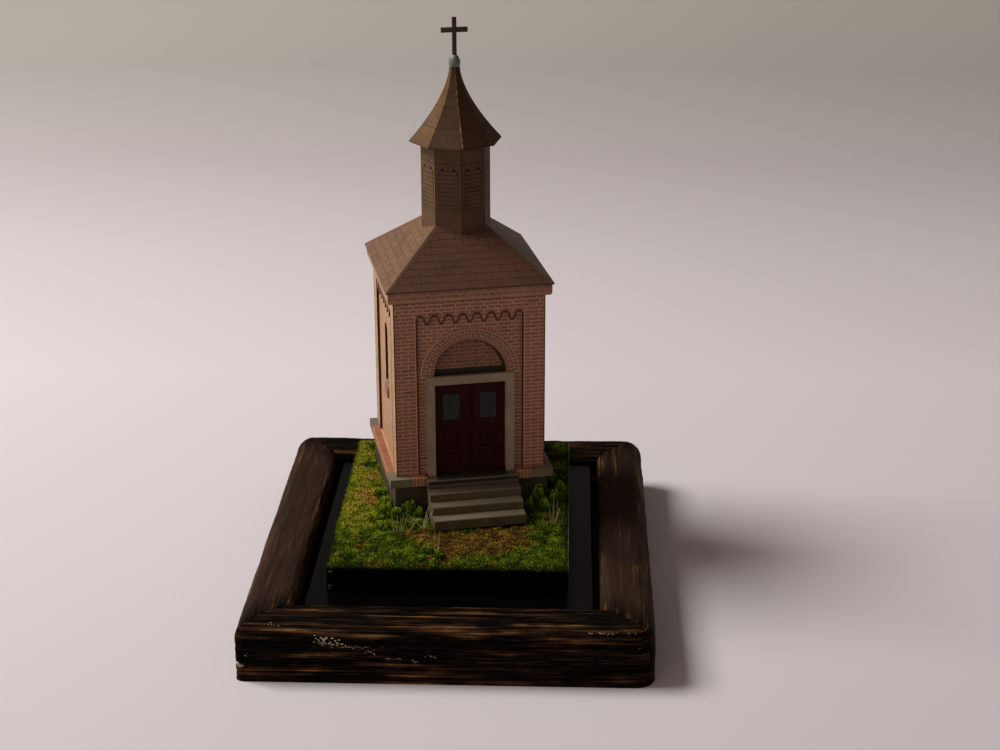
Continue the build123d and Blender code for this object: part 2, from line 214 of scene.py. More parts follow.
def window_side_painted_light(tree, colour, gain):
    """The colour, times gain on the faces towards the window: painted light, which matches how pale and tan
    they look there; no fading of the print itself is known."""
    facing = add(tree, "ShaderNodeVectorMath", {
        0: add(tree, "ShaderNodeNewGeometry").outputs["Normal"], 1: WINDOW_SIDE}, operation="DOT_PRODUCT")
    share = add(tree, "ShaderNodeMapRange", {
        "Value": facing.outputs["Value"], "From Min": 0.42, "From Max": 0.6}).outputs[0]
    return add(tree, "ShaderNodeMix", {0: share, 6: colour, 7: (*gain, 1.0)},
               data_type="RGBA", blend_type="MULTIPLY").outputs[2]


def printed_card(name, stops, roughness, fleck, shade="#bdb6b0", specular=0.4, zone=0.0,
                 painted_light_gain=(1.4, 2.0, 1.75)):
    """Printed card under a thin varnish: each unit has a tone of its own, under a fine ink fleck, and is
    painted paler on the faces towards the window as painted light.
    """
    material, tree, bsdf = finish(name, roughness, specular, coat_weight=0.25, coat_roughness=0.5)
    own = add(tree, "ShaderNodeAttribute", attribute_name="tint").outputs["Fac"]
    cloud = mottle(tree, 7 * MM, 2.0)
    drift = add(tree, "ShaderNodeMath", {0: cloud, 1: zone, 2: -zone / 2}, operation="MULTIPLY_ADD")
    tone = add(tree, "ShaderNodeMath", {0: own, 1: drift.outputs[0]}, operation="ADD", use_clamp=True)
    ink = add(tree, "ShaderNodeValToRGB", {"Fac": tone.outputs[0]}, stops)
    speck = mottle(tree, fleck)
    fleck_and_sheen = add(tree, "ShaderNodeValToRGB", {"Fac": speck}, ((0.3, shade), (0.65, "#ffffff")))
    mixed = add(tree, "ShaderNodeMix", {0: 1.0, 6: ink.outputs[0], 7: fleck_and_sheen.outputs[0]},
                data_type="RGBA", blend_type="MULTIPLY")
    surface(tree, bsdf, window_side_painted_light(tree, mixed.outputs[2], painted_light_gain), speck, 0.04 * MM)
    return material


def mottled(name, dark, pale, roughness, fleck, cloud=5 * MM, specular=0.4, depth=0.05 * MM,
            painted_light_gain=None, **shader):
    """One finish between two near tones: a fine fleck over wider soft stains, painted paler towards the
    window as painted light when a gain is given.
    """
    material, tree, bsdf = finish(name, roughness, specular, **shader)
    fine = mottle(tree, fleck)
    both = add(tree, "ShaderNodeMath", {0: fine, 1: mottle(tree, cloud, 3.0)}, operation="ADD")
    tone = add(tree, "ShaderNodeValToRGB", {"Fac": add(
        tree, "ShaderNodeMath", {0: both.outputs[0], 1: 0.5}, operation="MULTIPLY").outputs[0],
    }, ((0.36, dark), (0.64, pale)))
    colour = window_side_painted_light(tree, tone.outputs[0], painted_light_gain) if painted_light_gain else tone.outputs[0]
    surface(tree, bsdf, colour, fine, depth)
    return material


def door_paint():
    """Oxblood satin paint on boards: darker in the upright grain."""
    material, tree, bsdf = finish("door_oxblood_satin", 0.6, 0.12)
    board = mottle(tree, 0.35 * MM, 4.0, (1, 1, 14))
    tone = add(tree, "ShaderNodeValToRGB", {"Fac": board},
               ((0.3, "#1f0406"), (0.55, "#2c060a"), (0.75, "#3b0a0f")))
    surface(tree, bsdf, tone.outputs[0], board, 0.06 * MM)
    return material


def rail_paint():
    """Black-brown stain over pine, rubbed through along the grain: brown ridges, black furrows and fine
    scratches, with a painted grey-brown sheen over the side rails."""
    material, tree, bsdf = finish("rail_rubbed_black_stain", 0.6, 0.02)
    run = add(tree, "ShaderNodeUVMap", uv_map="along").outputs[0]
    streaks = []
    for across, along, detail in ((0.5, 30.0, 5.0), (2.0, 46.0, 4.0), (5.5, 19.0, 3.0), (0.16, 12.0, 2.0)):
        placed = add(tree, "ShaderNodeMapping", {
            "Vector": run, "Scale": (1 / (along * MM), 1 / (across * MM), 1)})
        streaks.append(add(tree, "ShaderNodeTexNoise", {
            "Vector": placed.outputs[0], "Scale": 1.0, "Detail": detail, "Roughness": 0.62, "Distortion": 0.6,
        }).outputs["Fac"])
    fibre, band, patch, scratch = streaks
    rub = add(tree, "ShaderNodeAttribute", attribute_name="rub").outputs["Fac"]
    broad = add(tree, "ShaderNodeMath", {0: band, 1: 0.8}, operation="MULTIPLY").outputs[0]
    worn = broad
    for pattern, weight in ((fibre, 1.1), (patch, 0.7), (rub, 0.4)):
        worn = add(tree, "ShaderNodeMath", {
            0: pattern, 1: weight, 2: worn}, operation="MULTIPLY_ADD").outputs[0]
    share = add(tree, "ShaderNodeMapRange", {"Value": worn, "From Min": 1.4, "From Max": 1.86}).outputs[0]
    tone = add(tree, "ShaderNodeValToRGB", {"Fac": share}, (
        (0.0, "#040302"), (0.2, "#130c06"), (0.42, "#2a1b10"), (0.62, "#412b19"), (0.82, "#644324"),
        (1.0, "#8a6434")))
    marks = add(tree, "ShaderNodeMapRange", {"Value": scratch, "From Min": 0.6, "From Max": 0.75}).outputs[0]
    scratched = add(tree, "ShaderNodeMath", {0: marks, 1: patch}, operation="MULTIPLY").outputs[0]
    colour = add(tree, "ShaderNodeMix", {0: scratched, 6: tone.outputs[0], 7: "#6e5038"}, data_type="RGBA")
    # Painted sheen: the side rails are mixed towards a dull grey-brown.
    fleck_and_sheen = add(tree, "ShaderNodeAttribute", attribute_name="fleck_and_sheen").outputs["Fac"]
    sheened = add(tree, "ShaderNodeMix", {0: fleck_and_sheen, 6: colour.outputs[2], 7: "#3d2e25"}, data_type="RGBA")
    surface(tree, bsdf, sheened.outputs[2], worn, 0.2 * MM, 0.9)
    return material


def fibres(name, stops, roughness=0.8):
    """Flock, scatter and stalks: every fibre has its own tone."""
    material, tree, bsdf = finish(name, roughness, 0.05)
    own = add(tree, "ShaderNodeAttribute", attribute_name="tint").outputs["Fac"]
    tone = add(tree, "ShaderNodeValToRGB", {"Fac": own}, stops)
    tree.links.new(tone.outputs[0], bsdf.inputs["Base Color"])
    return material


# Painted light: every printed card, and every finish given a window gain, comes out paler on the faces
# towards the window.
# Printed brick card: rust, brown and pinkish bricks in drifts, so a wall reads as single bricks.
BRICK = printed_card("brick_printed_card", (
    (0.0, "#6e4b2d"), (0.22, "#805436"), (0.42, "#8b533d"), (0.6, "#955949"), (0.8, "#945839"),
    (1.0, "#825d39")), 0.6, 0.25 * MM, "#c8c0ba", 0.5, zone=0.9)
# The same print on the infill under the arch, darkened as painted shade: browner and lower in contrast.
SHADED_BRICK = printed_card("arch_infill_brick_card", (
    (0.0, "#644329"), (0.5, "#754835"), (1.0, "#7a4e34")), 0.65, 0.25 * MM, "#c0b8b2", 0.3, zone=0.5)
# Bricks of the door arch: plain mid browns, so the ring reads as one even band.
ARCH_BRICK = printed_card("arch_brick_printed_card", (
    (0.0, "#704d34"), (0.5, "#805338"), (1.0, "#8a5441")), 0.6, 0.25 * MM, specular=0.5)
# Bricks on edge round the plinth: the reddest and most varied, a warm line near the ground.
EDGE_BRICK = printed_card("brick_on_edge_printed_card", (
    (0.0, "#7a472e"), (0.5, "#965235"), (1.0, "#a3674a")), 0.6, 0.25 * MM, specular=0.5)
# Printed lime mortar: pale pinkish tan, which draws the bond from a distance.
MORTAR = mottled(
    "mortar_lime_card", "#a17759", "#ba8f6b", 0.6, 0.3 * MM, specular=0.5, painted_light_gain=(1.33, 1.8, 1.6))
# Mortar of the infill: darker, as painted shade where it lies back under the arch.
SHADED_MORTAR = mottled("arch_infill_mortar_card", "#7d5940", "#946f52", 0.65, 0.3 * MM, specular=0.3)
# Moulded cornice strip: plain tan card with soft stains, calmer than the brick under it.
CORNICE_CARD = mottled(
    "cornice_moulded_card", "#866242", "#a07756", 0.6, 0.3 * MM, specular=0.5, painted_light_gain=(1.3, 1.6, 1.45))
# Dark brown on the raised brick's arrises, partly ink and partly painted shade, and painted shade under the
# arch
# and in the window reveals: it gives thin relief an edge.
BRICK_ARRIS = mottled("brick_shadow_line", "#3c2416", "#533424", 0.8, 0.4 * MM, specular=0.1)
# Shade under the small arches, partly printed shading and partly painted shadow: red-brown and softer than
# the arris lines.
CORBEL_SHADE = mottled("corbel_red_brown_shade", "#482919", "#5c3827", 0.8, 0.4 * MM, specular=0.1)
# Painted shade under the cornice: a soft brown band along the walls' tops.
SOFFIT_SHADE = mottled("soffit_soft_shade", "#4a3122", "#624331", 0.8, 0.5 * MM)
# Brick sills of the side windows: flat red-brown, with little change from brick to brick.
SILL_CARD = mottled("side_sill_brick_card", "#6f4a36", "#8a6049", 0.65, 0.3 * MM)
# Sandstone print of the door surround: matt grey-beige, the palest piece of the front.
SURROUND_STONE = mottled("surround_sandstone_card", "#7a6a56", "#92836d", 0.8, 0.25 * MM)
# Stone card of the risers: matt grey-brown with wide stains.
STEP_STONE = mottled("step_stone_card", "#443b2c", "#5c523e", 0.85, 0.25 * MM, 3 * MM, specular=0.2)
# The steps' level faces: the same stone, dark by the door and pale at the lowest tread, as painted shade.
TREAD_STONE = printed_card("step_tread_card", (
    (0.0, "#1a160f"), (0.33, "#383024"), (0.67, "#564c3a"), (1.0, "#6e6350")), 0.85, 0.25 * MM, specular=0.2)
# Nosings: a pale line along each step, partly rubbed wear and partly a painted highlight where the edge
# catches the light.
STEP_EDGE = mottled("step_edge_wear_and_highlight", "#5f5642", "#7a7059", 0.85, 0.3 * MM, 2 * MM)
# Corner stones: matt grey-brown stone card.
PLINTH_STONE = mottled("plinth_stone_card", "#5a513f", "#71674f", 0.8, 0.25 * MM)
# Foundation: dark grey-green stone card, its darkness partly painted shade at the foot of the walls over the
# turf.
FOUNDATION_STONE = mottled("foundation_grey_card", "#2b281b", "#47422e", 0.85, 0.3 * MM, 4 * MM, specular=0.2)
# Printed roof tiles: an even red-brown of low contrast, so that the joints draw the pattern.
TILE = printed_card("roof_tile_printed_card", (
    (0.0, "#492a19"), (0.3, "#51301c"), (0.7, "#56331f"), (1.0, "#4f301e")),
    0.6, 0.5 * MM, "#c4bab4", 0.3, zone=0.5, painted_light_gain=(1.95, 2.65, 2.75))
# Joints between the tiles: printed dark brown.
ROOF_LINE = mottled(
    "roof_joint_line", "#29180f", "#372218", 0.8, 0.4 * MM, specular=0.2, painted_light_gain=(1.7, 2.0, 1.7))
# Folded strips on hips and eaves: the tiles' brown without their joints.
HIP_STRIP = mottled(
    "hip_strip_card", "#442a19", "#553623", 0.6, 0.4 * MM, specular=0.4, painted_light_gain=(1.7, 2.0, 1.7))
# Turret boards: flat dark brown card, painted paler on the window side as painted light.
TURRET_CARD = mottled(
    "turret_boarded_card", "#412a19", "#583c27", 0.65, 0.35 * MM, specular=0.25, painted_light_gain=(1.4, 1.65, 1.6))
# Folds and open joints of the turret and spire: nearly black brown.
TURRET_LINE = mottled("turret_joint_line", "#20140c", "#2e1e13", 0.8, 0.4 * MM, specular=0.1)
# Louvre slats and their rims: the turret's brown, a touch darker as painted shade, so the louvres lie back in
# the face.
SLAT = mottled(
    "louvre_slat_card", "#3f2918", "#543925", 0.65, 0.3 * MM, specular=0.25, painted_light_gain=(1.4, 1.65, 1.6))
# Spire boards: the darkest brown of the roofs, matt.
SPIRE_CARD = mottled(
    "spire_boarded_card", "#352112", "#48301d", 0.6, 0.35 * MM, specular=0.12, painted_light_gain=(1.95, 2.3, 2.1))
# Bare buff core where the print has cracked along a fold.
CARD_CORE = mottled("bare_card_core", "#8a7458", "#b9a68c", 0.85, 0.5 * MM, 1.5 * MM)
# Painted leaves: deep oxblood with an upright grain.
DOOR = door_paint()
# Mouldings of the leaves: the same oxblood a shade darker, as painted shadow.
DOOR_EDGE = mottled("door_moulding_red", "#210508", "#33090f", 0.6, 0.3 * MM, specular=0.1)
# Lead cames and the side windows' bars: dull grey, paler than the panes.
LEAD = mottled("lead_came", "#3a3d3b", "#565a58", 0.6, 0.3 * MM)
# Panes of the door lights: dark grey-green with a weak sheen.
PANE = mottled("leaded_pane_grey_green", "#0e110e", "#1b1f1c", 0.45, 0.5 * MM, specular=0.2)
# Painted shade at the foot of the tympanum: dark olive-brown, without bricks.
SHADE_BAND = mottled("tympanum_foot_dark", "#17160c", "#2e2a1a", 0.85, 0.6 * MM, 2 * MM)
# Side windows: nearly black panes with a weak sheen.
WINDOW_DARK = mottled("side_window_dark", "#0d0907", "#17110d", 0.5, 0.5 * MM, specular=0.2)
# Block: black lacquer, smooth enough to give back a dim room.
BLOCK_PAINT = mottled("block_gloss_black", "#010101", "#030303", 0.12, 2 * MM, 9 * MM, 0.06, 0.02 * MM)
# Painted highlight along the block's arris: a thin pale grey line.
BLOCK_EDGE = mottled("block_worn_arris", "#45453f", "#7c7c74", 0.5, 0.5 * MM, 3 * MM)
# Ledge: black lacquer, duller than the block.
LEDGE_PAINT = mottled("ledge_gloss_black", "#020202", "#050404", 0.25, 0.5 * MM, 3 * MM, 0.05, 0.03 * MM)
# Base board: thin dark stain, matt.
UNDERSIDE = mottled("board_dark_stain", "#0a0705", "#17100b", 0.7, 0.8 * MM, specular=0.1)
# Rails: rubbed black stain over pine, brown along the grain where it is thin.
RAIL = rail_paint()
# Bare pine in the chips: cream with tan fibres, the palest spots of the stand.
BARE_WOOD = mottled("chipped_bare_wood", "#8f7c5c", "#d2c6a8", 0.8, 0.2 * MM, 1 * MM)
# Finial: weathered zinc, grey-green and half dull.
FINIAL_ZINC = mottled("finial_grey_green_zinc", "#4e554a", "#757e70", 0.5, 0.5 * MM, metallic=0.3)
# Cross: dark brown-grey iron paint with a low sheen.
CROSS_IRON = mottled("cross_dark_iron_paint", "#221e1a", "#37322c", 0.55, 0.4 * MM, specular=0.3)
# Static grass: one tone a fibre, black-green to straw; as painted shade the hollows take the dark tones and
# the lumps the pale ones, so the turf has depth.
GRASS = fibres("turf_static_grass", (
    (0.0, "#0a0c01"), (0.22, "#263403"), (0.45, "#486908"), (0.7, "#7a8d12"), (1.0, "#b09c33")))
# Foliage flock: olive to yellow-green flakes, with painted shade inside a clump and painted light near its
# top.
BUSH = fibres("bush_foliage_flock", ((0.0, "#161d03"), (0.4, "#40590a"), (0.75, "#6a8412"), (1.0, "#9fac2a")))
# Scattered earth: dark to golden brown crumbs.
EARTH = fibres("earth_scatter", ((0.0, "#2c1905"), (0.4, "#664413"), (0.7, "#926c28"), (1.0, "#b89246")))
# Mat under the fibres: dark olive flock, which gives depth between them.
TURF_MAT = mottled("turf_mat_dark_flock", "#0c0f02", "#262808", 0.9, 0.4 * MM, 3 * MM, specular=0.05)
# Dry stalks: pale straw, the lightest lines in the turf.
STRAW = fibres("straw_stalks", ((0.0, "#a39465"), (0.6, "#cfc294"), (1.0, "#e6dcb8")))


# ---- mesh helpers ----
def place(obj, slot, *nodes):
    """Rides the piece on the model's one body and hides the nodes that it stands for; its slot is not used.
    """
    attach(obj, BODY)
    if nodes:
        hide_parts(*nodes)


def piece(name, bm, material, slot, *nodes, smooth=False):
    """Turns finished bmesh work into a piece of the model."""
    bmesh.ops.recalc_face_normals(bm, faces=bm.faces)
    mesh = bpy.data.meshes.new(name)
    bm.to_mesh(mesh)
    bm.free()
    mesh.materials.append(material)
    if smooth:
        mesh.shade_smooth()
    obj = bpy.data.objects.new(name, mesh)
    bpy.context.scene.collection.objects.link(obj)
    if slot:
        place(obj, slot, *nodes)
    return obj


def joined(bm, rings, closed=False):
    """Skins a row of equal rings of vertices; the two ends get caps unless the row is closed."""
    pairs = list(zip(rings, rings[1:])) + ([(rings[-1], rings[0])] if closed else [])
    for a, b in pairs:
        for i in range(len(a)):
            j = (i + 1) % len(a)
            bm.faces.new((a[i], a[j], b[j], b[i]))
    if not closed:
        bm.faces.new(rings[0][::-1])
        bm.faces.new(rings[-1])


def slab(bm, outline, matrix, thickness, bevel=0.0, tint=0.5, sunk=0.03 * MM):
    """A closed thin slab on an outline in (u, v); its face is drawn in by bevel."""
    layer = bm.verts.layers.float.get("tint") or bm.verts.layers.float.new("tint")
    centre = Vector((sum(p[0] for p in outline), sum(p[1] for p in outline))) / len(outline)
    rings = []
    for w, drawn in ((-sunk, 0.0), (thickness, bevel)):
        ring = []
        for u, v in outline:
            away = centre - Vector((u, v))
            step = away.normalized() * min(drawn, away.length / 2)
            vertex = bm.verts.new(matrix @ Vector((u + step.x, v + step.y, w)))
            vertex[layer] = tint
            ring.append(vertex)
        rings.append(ring)
    joined(bm, rings)


def ribbon(bm, path, matrix, inner, outer, bottom, top):
    """A closed strip along a path in (u, v): from inner to outer at its left, bottom to top in w."""
    rings = []
    for i, (u, v) in enumerate(path):
        ahead = Vector(path[min(i + 1, len(path) - 1)]) - Vector((u, v))
        behind = Vector((u, v)) - Vector(path[max(i - 1, 0)])
        along = (ahead.normalized() + behind.normalized()).normalized()
        left = Vector((-along.y, along.x))
        mitre = 1 / max(abs(left.dot(Vector((-ahead.y, ahead.x)).normalized())) if ahead.length else 1.0, 0.6)
        ring = []
        for side, w in ((inner, bottom), (outer, bottom), (outer, top), (inner, top)):
            spot = Vector((u, v)) + left * side * mitre
            ring.append(bm.verts.new(matrix @ Vector((spot.x, spot.y, w))))
        rings.append(ring)
    joined(bm, rings)


def box(u0, u1, v0, v1):
    return [(u0, v0), (u1, v0), (u1, v1), (u0, v1)]


def arc(centre_u, centre_v, radius, start, end, steps):
    """Points of an arc; angles in degrees, counted from the right, upwards."""
    angles = [math.radians(start + (end - start) * i / steps) for i in range(steps + 1)]
    return [(centre_u + radius * math.cos(a), centre_v + radius * math.sin(a)) for a in angles]


def clip(outline, a, b, c):
    """The part of a convex outline where a * u + b * v <= c."""
    kept = []
    for i, p in enumerate(outline):
        q = outline[(i + 1) % len(outline)]
        dp = a * p[0] + b * p[1] - c
        dq = a * q[0] + b * q[1] - c
        if dp <= 0:
            kept.append(p)
        if dp * dq < 0:
            t = dp / (dp - dq)
            kept.append((p[0] + (q[0] - p[0]) * t, p[1] + (q[1] - p[1]) * t))
    return kept


def outline_area(outline):
    return abs(sum(p[0] * q[1] - q[0] * p[1] for p, q in zip(outline, outline[1:] + outline[:1]))) / 2


# ---- Geometry Nodes: units laid on spots, and blades scattered over a surface ----
def sockets(tree, names):
    """Names the tree's inputs and its one output, and gives the input node."""
    for name, kind in names:
        tree.interface.new_socket(name, in_out="INPUT", socket_type="NodeSocket" + kind)
    tree.interface.new_socket("Geometry", in_out="OUTPUT", socket_type="NodeSocketGeometry")
    return add(tree, "NodeGroupInput").outputs


def made_real(tree, geometry, material):
    """Ends a tree: real geometry with its material."""
    real = add(tree, "GeometryNodeRealizeInstances", {"Geometry": geometry})
    painted = add(tree, "GeometryNodeSetMaterial", {"Geometry": real.outputs[0], "Material": material})
    add(tree, "NodeGroupOutput", {"Geometry": painted.outputs[0]})


def laying_tree():
    """Puts a unit on every point, at the point's own size, turn and tint."""
    tree = bpy.data.node_groups.new("lay_units", "GeometryNodeTree")
    given = sockets(tree, (
        ("Geometry", "Geometry"), ("Unit", "Object"), ("Thickness", "Float"), ("Finish", "Material")))
    unit = add(tree, "GeometryNodeObjectInfo", {"Object": given["Unit"]})
    size = add(tree, "GeometryNodeInputNamedAttribute", {"Name": "size"}, data_type="FLOAT_VECTOR")
    turn = add(tree, "GeometryNodeInputNamedAttribute", {"Name": "turn"}, data_type="FLOAT_VECTOR")
    thick = add(tree, "ShaderNodeCombineXYZ", {"X": 1.0, "Y": 1.0, "Z": given["Thickness"]})
    scale = add(tree, "ShaderNodeVectorMath", {0: size.outputs[0], 1: thick.outputs[0]}, operation="MULTIPLY")
    rotation = add(tree, "FunctionNodeEulerToRotation", {0: turn.outputs[0]})
    laid = add(tree, "GeometryNodeInstanceOnPoints", {
        "Points": given["Geometry"], "Instance": unit.outputs["Geometry"],
        "Rotation": rotation.outputs[0], "Scale": scale.outputs[0],
    })
    made_real(tree, laid.outputs[0], given["Finish"])
    return tree


def scattering_tree():
    """Scatters a blade where the surface is covered, each with its own length, lean and tone."""
    tree = bpy.data.node_groups.new("scatter_blades", "GeometryNodeTree")
    given = sockets(tree, (
        ("Geometry", "Geometry"), ("Blade", "Object"), ("Density", "Float"), ("Seed", "Int"),
        ("Shortest", "Float"), ("Longest", "Float"), ("Lean", "Float"), ("Finish", "Material")))
    cover = add(tree, "GeometryNodeInputNamedAttribute", {"Name": "cover"}, data_type="FLOAT")
    hue = add(tree, "GeometryNodeInputNamedAttribute", {"Name": "hue"}, data_type="FLOAT")
    density = add(tree, "ShaderNodeMath", {0: given["Density"], 1: cover.outputs[0]}, operation="MULTIPLY")
    points = add(tree, "GeometryNodeDistributePointsOnFaces", {
        "Mesh": given["Geometry"], "Density": density.outputs[0], "Seed": given["Seed"],
    })
    chance = add(tree, "FunctionNodeRandomValue", {2: -0.24, 3: 0.24, "Seed": 13}, data_type="FLOAT")
    tone = add(tree, "ShaderNodeMath", {
        0: hue.outputs[0], 1: chance.outputs[1]}, operation="ADD", use_clamp=True)
    tinted = add(tree, "GeometryNodeStoreNamedAttribute", {
        "Geometry": points.outputs[0], "Name": "tint", "Value": tone.outputs[0],
    }, data_type="FLOAT", domain="POINT")
    back = add(tree, "ShaderNodeMath", {0: given["Lean"], 1: -1.0}, operation="MULTIPLY")
    least = add(tree, "ShaderNodeCombineXYZ", {"X": back.outputs[0], "Y": back.outputs[0], "Z": -math.pi})
    most = add(tree, "ShaderNodeCombineXYZ", {"X": given["Lean"], "Y": given["Lean"], "Z": math.pi})
    lean = add(tree, "FunctionNodeRandomValue", {
        0: least.outputs[0], 1: most.outputs[0], "Seed": 11}, data_type="FLOAT_VECTOR")
    leaning = add(tree, "FunctionNodeEulerToRotation", {0: lean.outputs[0]})
    turn = add(tree, "FunctionNodeRotateRotation", {
        0: points.outputs["Rotation"], 1: leaning.outputs[0]}, rotation_space="LOCAL")
    length = add(tree, "FunctionNodeRandomValue", {
        2: given["Shortest"], 3: given["Longest"], "Seed": 12}, data_type="FLOAT")
    unit = add(tree, "GeometryNodeObjectInfo", {"Object": given["Blade"]})
    laid = add(tree, "GeometryNodeInstanceOnPoints", {
        "Points": tinted.outputs[0], "Instance": unit.outputs["Geometry"],
        "Rotation": turn.outputs[0], "Scale": length.outputs[1],
    })
    made_real(tree, laid.outputs[0], given["Finish"])
    return tree


def run_nodes(name, mesh, tree, values, slot):
    """The plain mesh piece that a Geometry Nodes tree makes from a mesh."""
    host = bpy.data.objects.new(name + "_host", mesh)
    bpy.context.scene.collection.objects.link(host)
    modifier = host.modifiers.new("nodes", "NODES")
    modifier.node_group = tree
    for item in tree.interface.items_tree:
        if item.item_type == "SOCKET" and item.in_out == "INPUT" and item.name in values:
            modifier[item.identifier] = values[item.name]
    depsgraph = bpy.context.evaluated_depsgraph_get()
    result = bpy.data.meshes.new_from_object(
        host.evaluated_get(depsgraph), preserve_all_data_layers=True, depsgraph=depsgraph)
    bpy.data.objects.remove(host)
    obj = bpy.data.objects.new(name, result)
    bpy.context.scene.collection.objects.link(obj)
    place(obj, slot)


LAYING = laying_tree()
SCATTERING = scattering_tree()
units = []    # taken out of the scene at the end


def unit_object(name, bm):
    """A unit for the trees to lay or scatter."""
    mesh = bpy.data.meshes.new(name)
    bm.to_mesh(mesh)
    bm.free()
    units.append(bpy.data.objects.new(name, mesh))
    bpy.context.scene.collection.objects.link(units[-1])
    return units[-1]


def brick_unit():
    """A closed brick one wide, one high and one thick, its face edges chamfered."""
    bm = bmesh.new()
    corners = ((-1, -1), (1, -1), (1, 1), (-1, 1))
    joined(bm, [
        [bm.verts.new((x / 2, y / 2, -0.3)) for x, y in corners],
        [bm.verts.new((x * 0.475, y * 0.45, 1.0)) for x, y in corners],
    ])
    return unit_object("brick_unit", bm)


BRICK_UNIT = brick_unit()


def lay(name, spots, thickness, material, slot):
    """Lays one unit on each spot: (matrix, u, v, length, height, tint)."""
    mesh = bpy.data.meshes.new(name + "_spots")
    mesh.from_pydata([matrix @ Vector((u, v, 0)) for matrix, u, v, *_ in spots], [], [])
    for label, values in (
            ("size", [c for *_, length, height, _ in spots for c in (length, height, 1.0)]),
            ("turn", [c for matrix, *_ in spots for c in matrix.to_euler()])):
        mesh.attributes.new(label, "FLOAT_VECTOR", "POINT").data.foreach_set("vector", values)
    mesh.attributes.new("tint", "FLOAT", "POINT").data.foreach_set("value", [spot[-1] for spot in spots])
    run_nodes(name, mesh, LAYING, {"Unit": BRICK_UNIT, "Thickness": thickness, "Finish": material}, slot)


# ---- brickwork ----
COURSES = 48
COURSE = (WALL_TOP - PLINTH_TOP) / COURSES
HEADER = CORBEL_PITCH / 2
PIER_INNER = 5.4 * MM
JOINT = 0.22 * MM
BRICK_PROUD = 0.04 * MM
BRICK_BEVEL = 0.04 * MM
SHORTEST_BRICK = 0.3 * MM
brick_dice = random.Random(31)    # one row of draws for all brickwork, so its pieces keep their order


def brick_tone():
    return min(max(brick_dice.gauss(0.5, 0.2), 0.0), 1.0)


def cut_out(spans, left, right):
    """Takes left to right out of a list of spans."""
    kept = []
    for a, b in spans:
        kept += [(a, min(b, left)), (max(a, right), b)]
    return [(a, b) for a, b in kept if b - a > SHORTEST_BRICK]


def chord(radius, height):
    return math.sqrt(max(radius * radius - height * height, 0.0))


def notch_reach(height):
    """Half the width of a small arch of the corbel table at a height."""
    centre = CORBEL_SOFFIT - NOTCH_HEAD
    slant = min(max((centre - height) / (centre - CORBEL_FOOT), 0.0), 1.0)
    return chord(NOTCH_HEAD, max(height - centre, 0.0)) + (NOTCH_FOOT - NOTCH_HEAD) * slant


def field_spans(side, v0, v1):
    """Where a course of the set-back field has brick, beside the doorway, its arch or the window."""
    if v0 > CORBEL_SOFFIT:
        return []
    spans = [(-PANEL_HALF, PANEL_HALF)]
    if side == FRONT and v0 < SURROUND_TOP:
        spans = cut_out(spans, -SURROUND_HALF, SURROUND_HALF)
    if side == FRONT and v1 > SURROUND_TOP:
        reach = RING_REACH * chord(1.0, max(v1 - ARCH_CENTRE, 0.0) / (RING_OUTER + 0.12 * MM))
        spans = cut_out(spans, -reach, reach)
    if side in (LEFT, RIGHT) and v1 > WINDOW_BOTTOM and v0 < WINDOW_TOP:
        reach = chord(WINDOW_HALF, max(v0 - WINDOW_TOP + WINDOW_HALF, 0.0)) + JOINT
        spans = cut_out(spans, -reach, reach)
    return spans


def tympanum_spans(v0, v1):
    """Where a course of the brick infill under the arch lies."""
    if v0 < SURROUND_TOP + COURSE or v1 > ARCH_CENTRE + OPENING_HALF:
        return []
    reach = chord(OPENING_HALF, max(v1 - ARCH_CENTRE, 0.0))
    return [(-reach, reach)]


def bonded(matrix, spans, v0, v1, length, shift, spots):
    """Adds one course over some spans: bricks of a length, with a joint at shift from the middle."""
    for a, b in spans:
        first = math.floor((a - shift) / length) - 1
        for k in range(first, first + int((b - a) / length) + 4):
            u0 = max(a, k * length + shift)
            u1 = min(b, (k + 1) * length + shift)
            if u1 - u0 > SHORTEST_BRICK:
                middle = (v0 + v1) / 2 + brick_dice.uniform(-0.02, 0.02) * MM
                spots.append((matrix, (u0 + u1) / 2, middle, u1 - u0 - JOINT, v1 - v0 - JOINT, brick_tone()))


def english_bond(matrix, spans, row, v0, v1, spots):
    """A row of stretchers or of headers by turns, centred on the wall."""
    if row % 2:
        bonded(matrix, spans, v0, v1, HEADER, HEADER / 2, spots)
    else:
        bonded(matrix, spans, v0, v1, 2 * HEADER, 0.0, spots)


def pilaster_course(matrix, row, v0, v1, spots):
    """A row of a pilaster, laid in from its outer edge."""
    near = (1.7 if row % 2 else 3.6) * MM
    uncut = 9 * MM
    for sign in (-1, 1):
        for a, b in ((0.0, near), (near, PIER_INNER)):
            span = sorted((sign * (FRAME_HALF - a), sign * (FRAME_HALF - b)))
            bonded(matrix, [span], v0, v1, uncut, span[0], spots)


def brickwork():
    """English bond on the frames and fields of the four walls."""
    for side, name in SIDES:
        spots = []
        frame_face = elevation(side, FRAME_HALF)
        field_face = elevation(side, FIELD_HALF)
        for row in range(COURSES):
            v0 = PLINTH_TOP + row * COURSE
            v1 = v0 + COURSE
            if v0 > CORBEL_SOFFIT - 0.5 * COURSE:
                english_bond(frame_face, [(-FRAME_HALF, FRAME_HALF)], row, v0, v1, spots)
            else:
                pilaster_course(frame_face, row, v0, v1, spots)
            english_bond(field_face, field_spans(side, v0, v1), row, v0, v1, spots)
        lay("bricks_" + name, spots, BRICK_PROUD, BRICK, "brick_card")


def arch_infill():
    """The set-back brickwork under the arch."""
    spots = []
    for row in range(COURSES):
        v0 = PLINTH_TOP + row * COURSE
        spans = tympanum_spans(v0, v0 + COURSE)
        english_bond(elevation(FRONT, TYMPANUM_OUT), spans, row, v0, v0 + COURSE, spots)
    lay("bricks_arch_infill", spots, BRICK_PROUD, SHADED_BRICK, "brick_card")


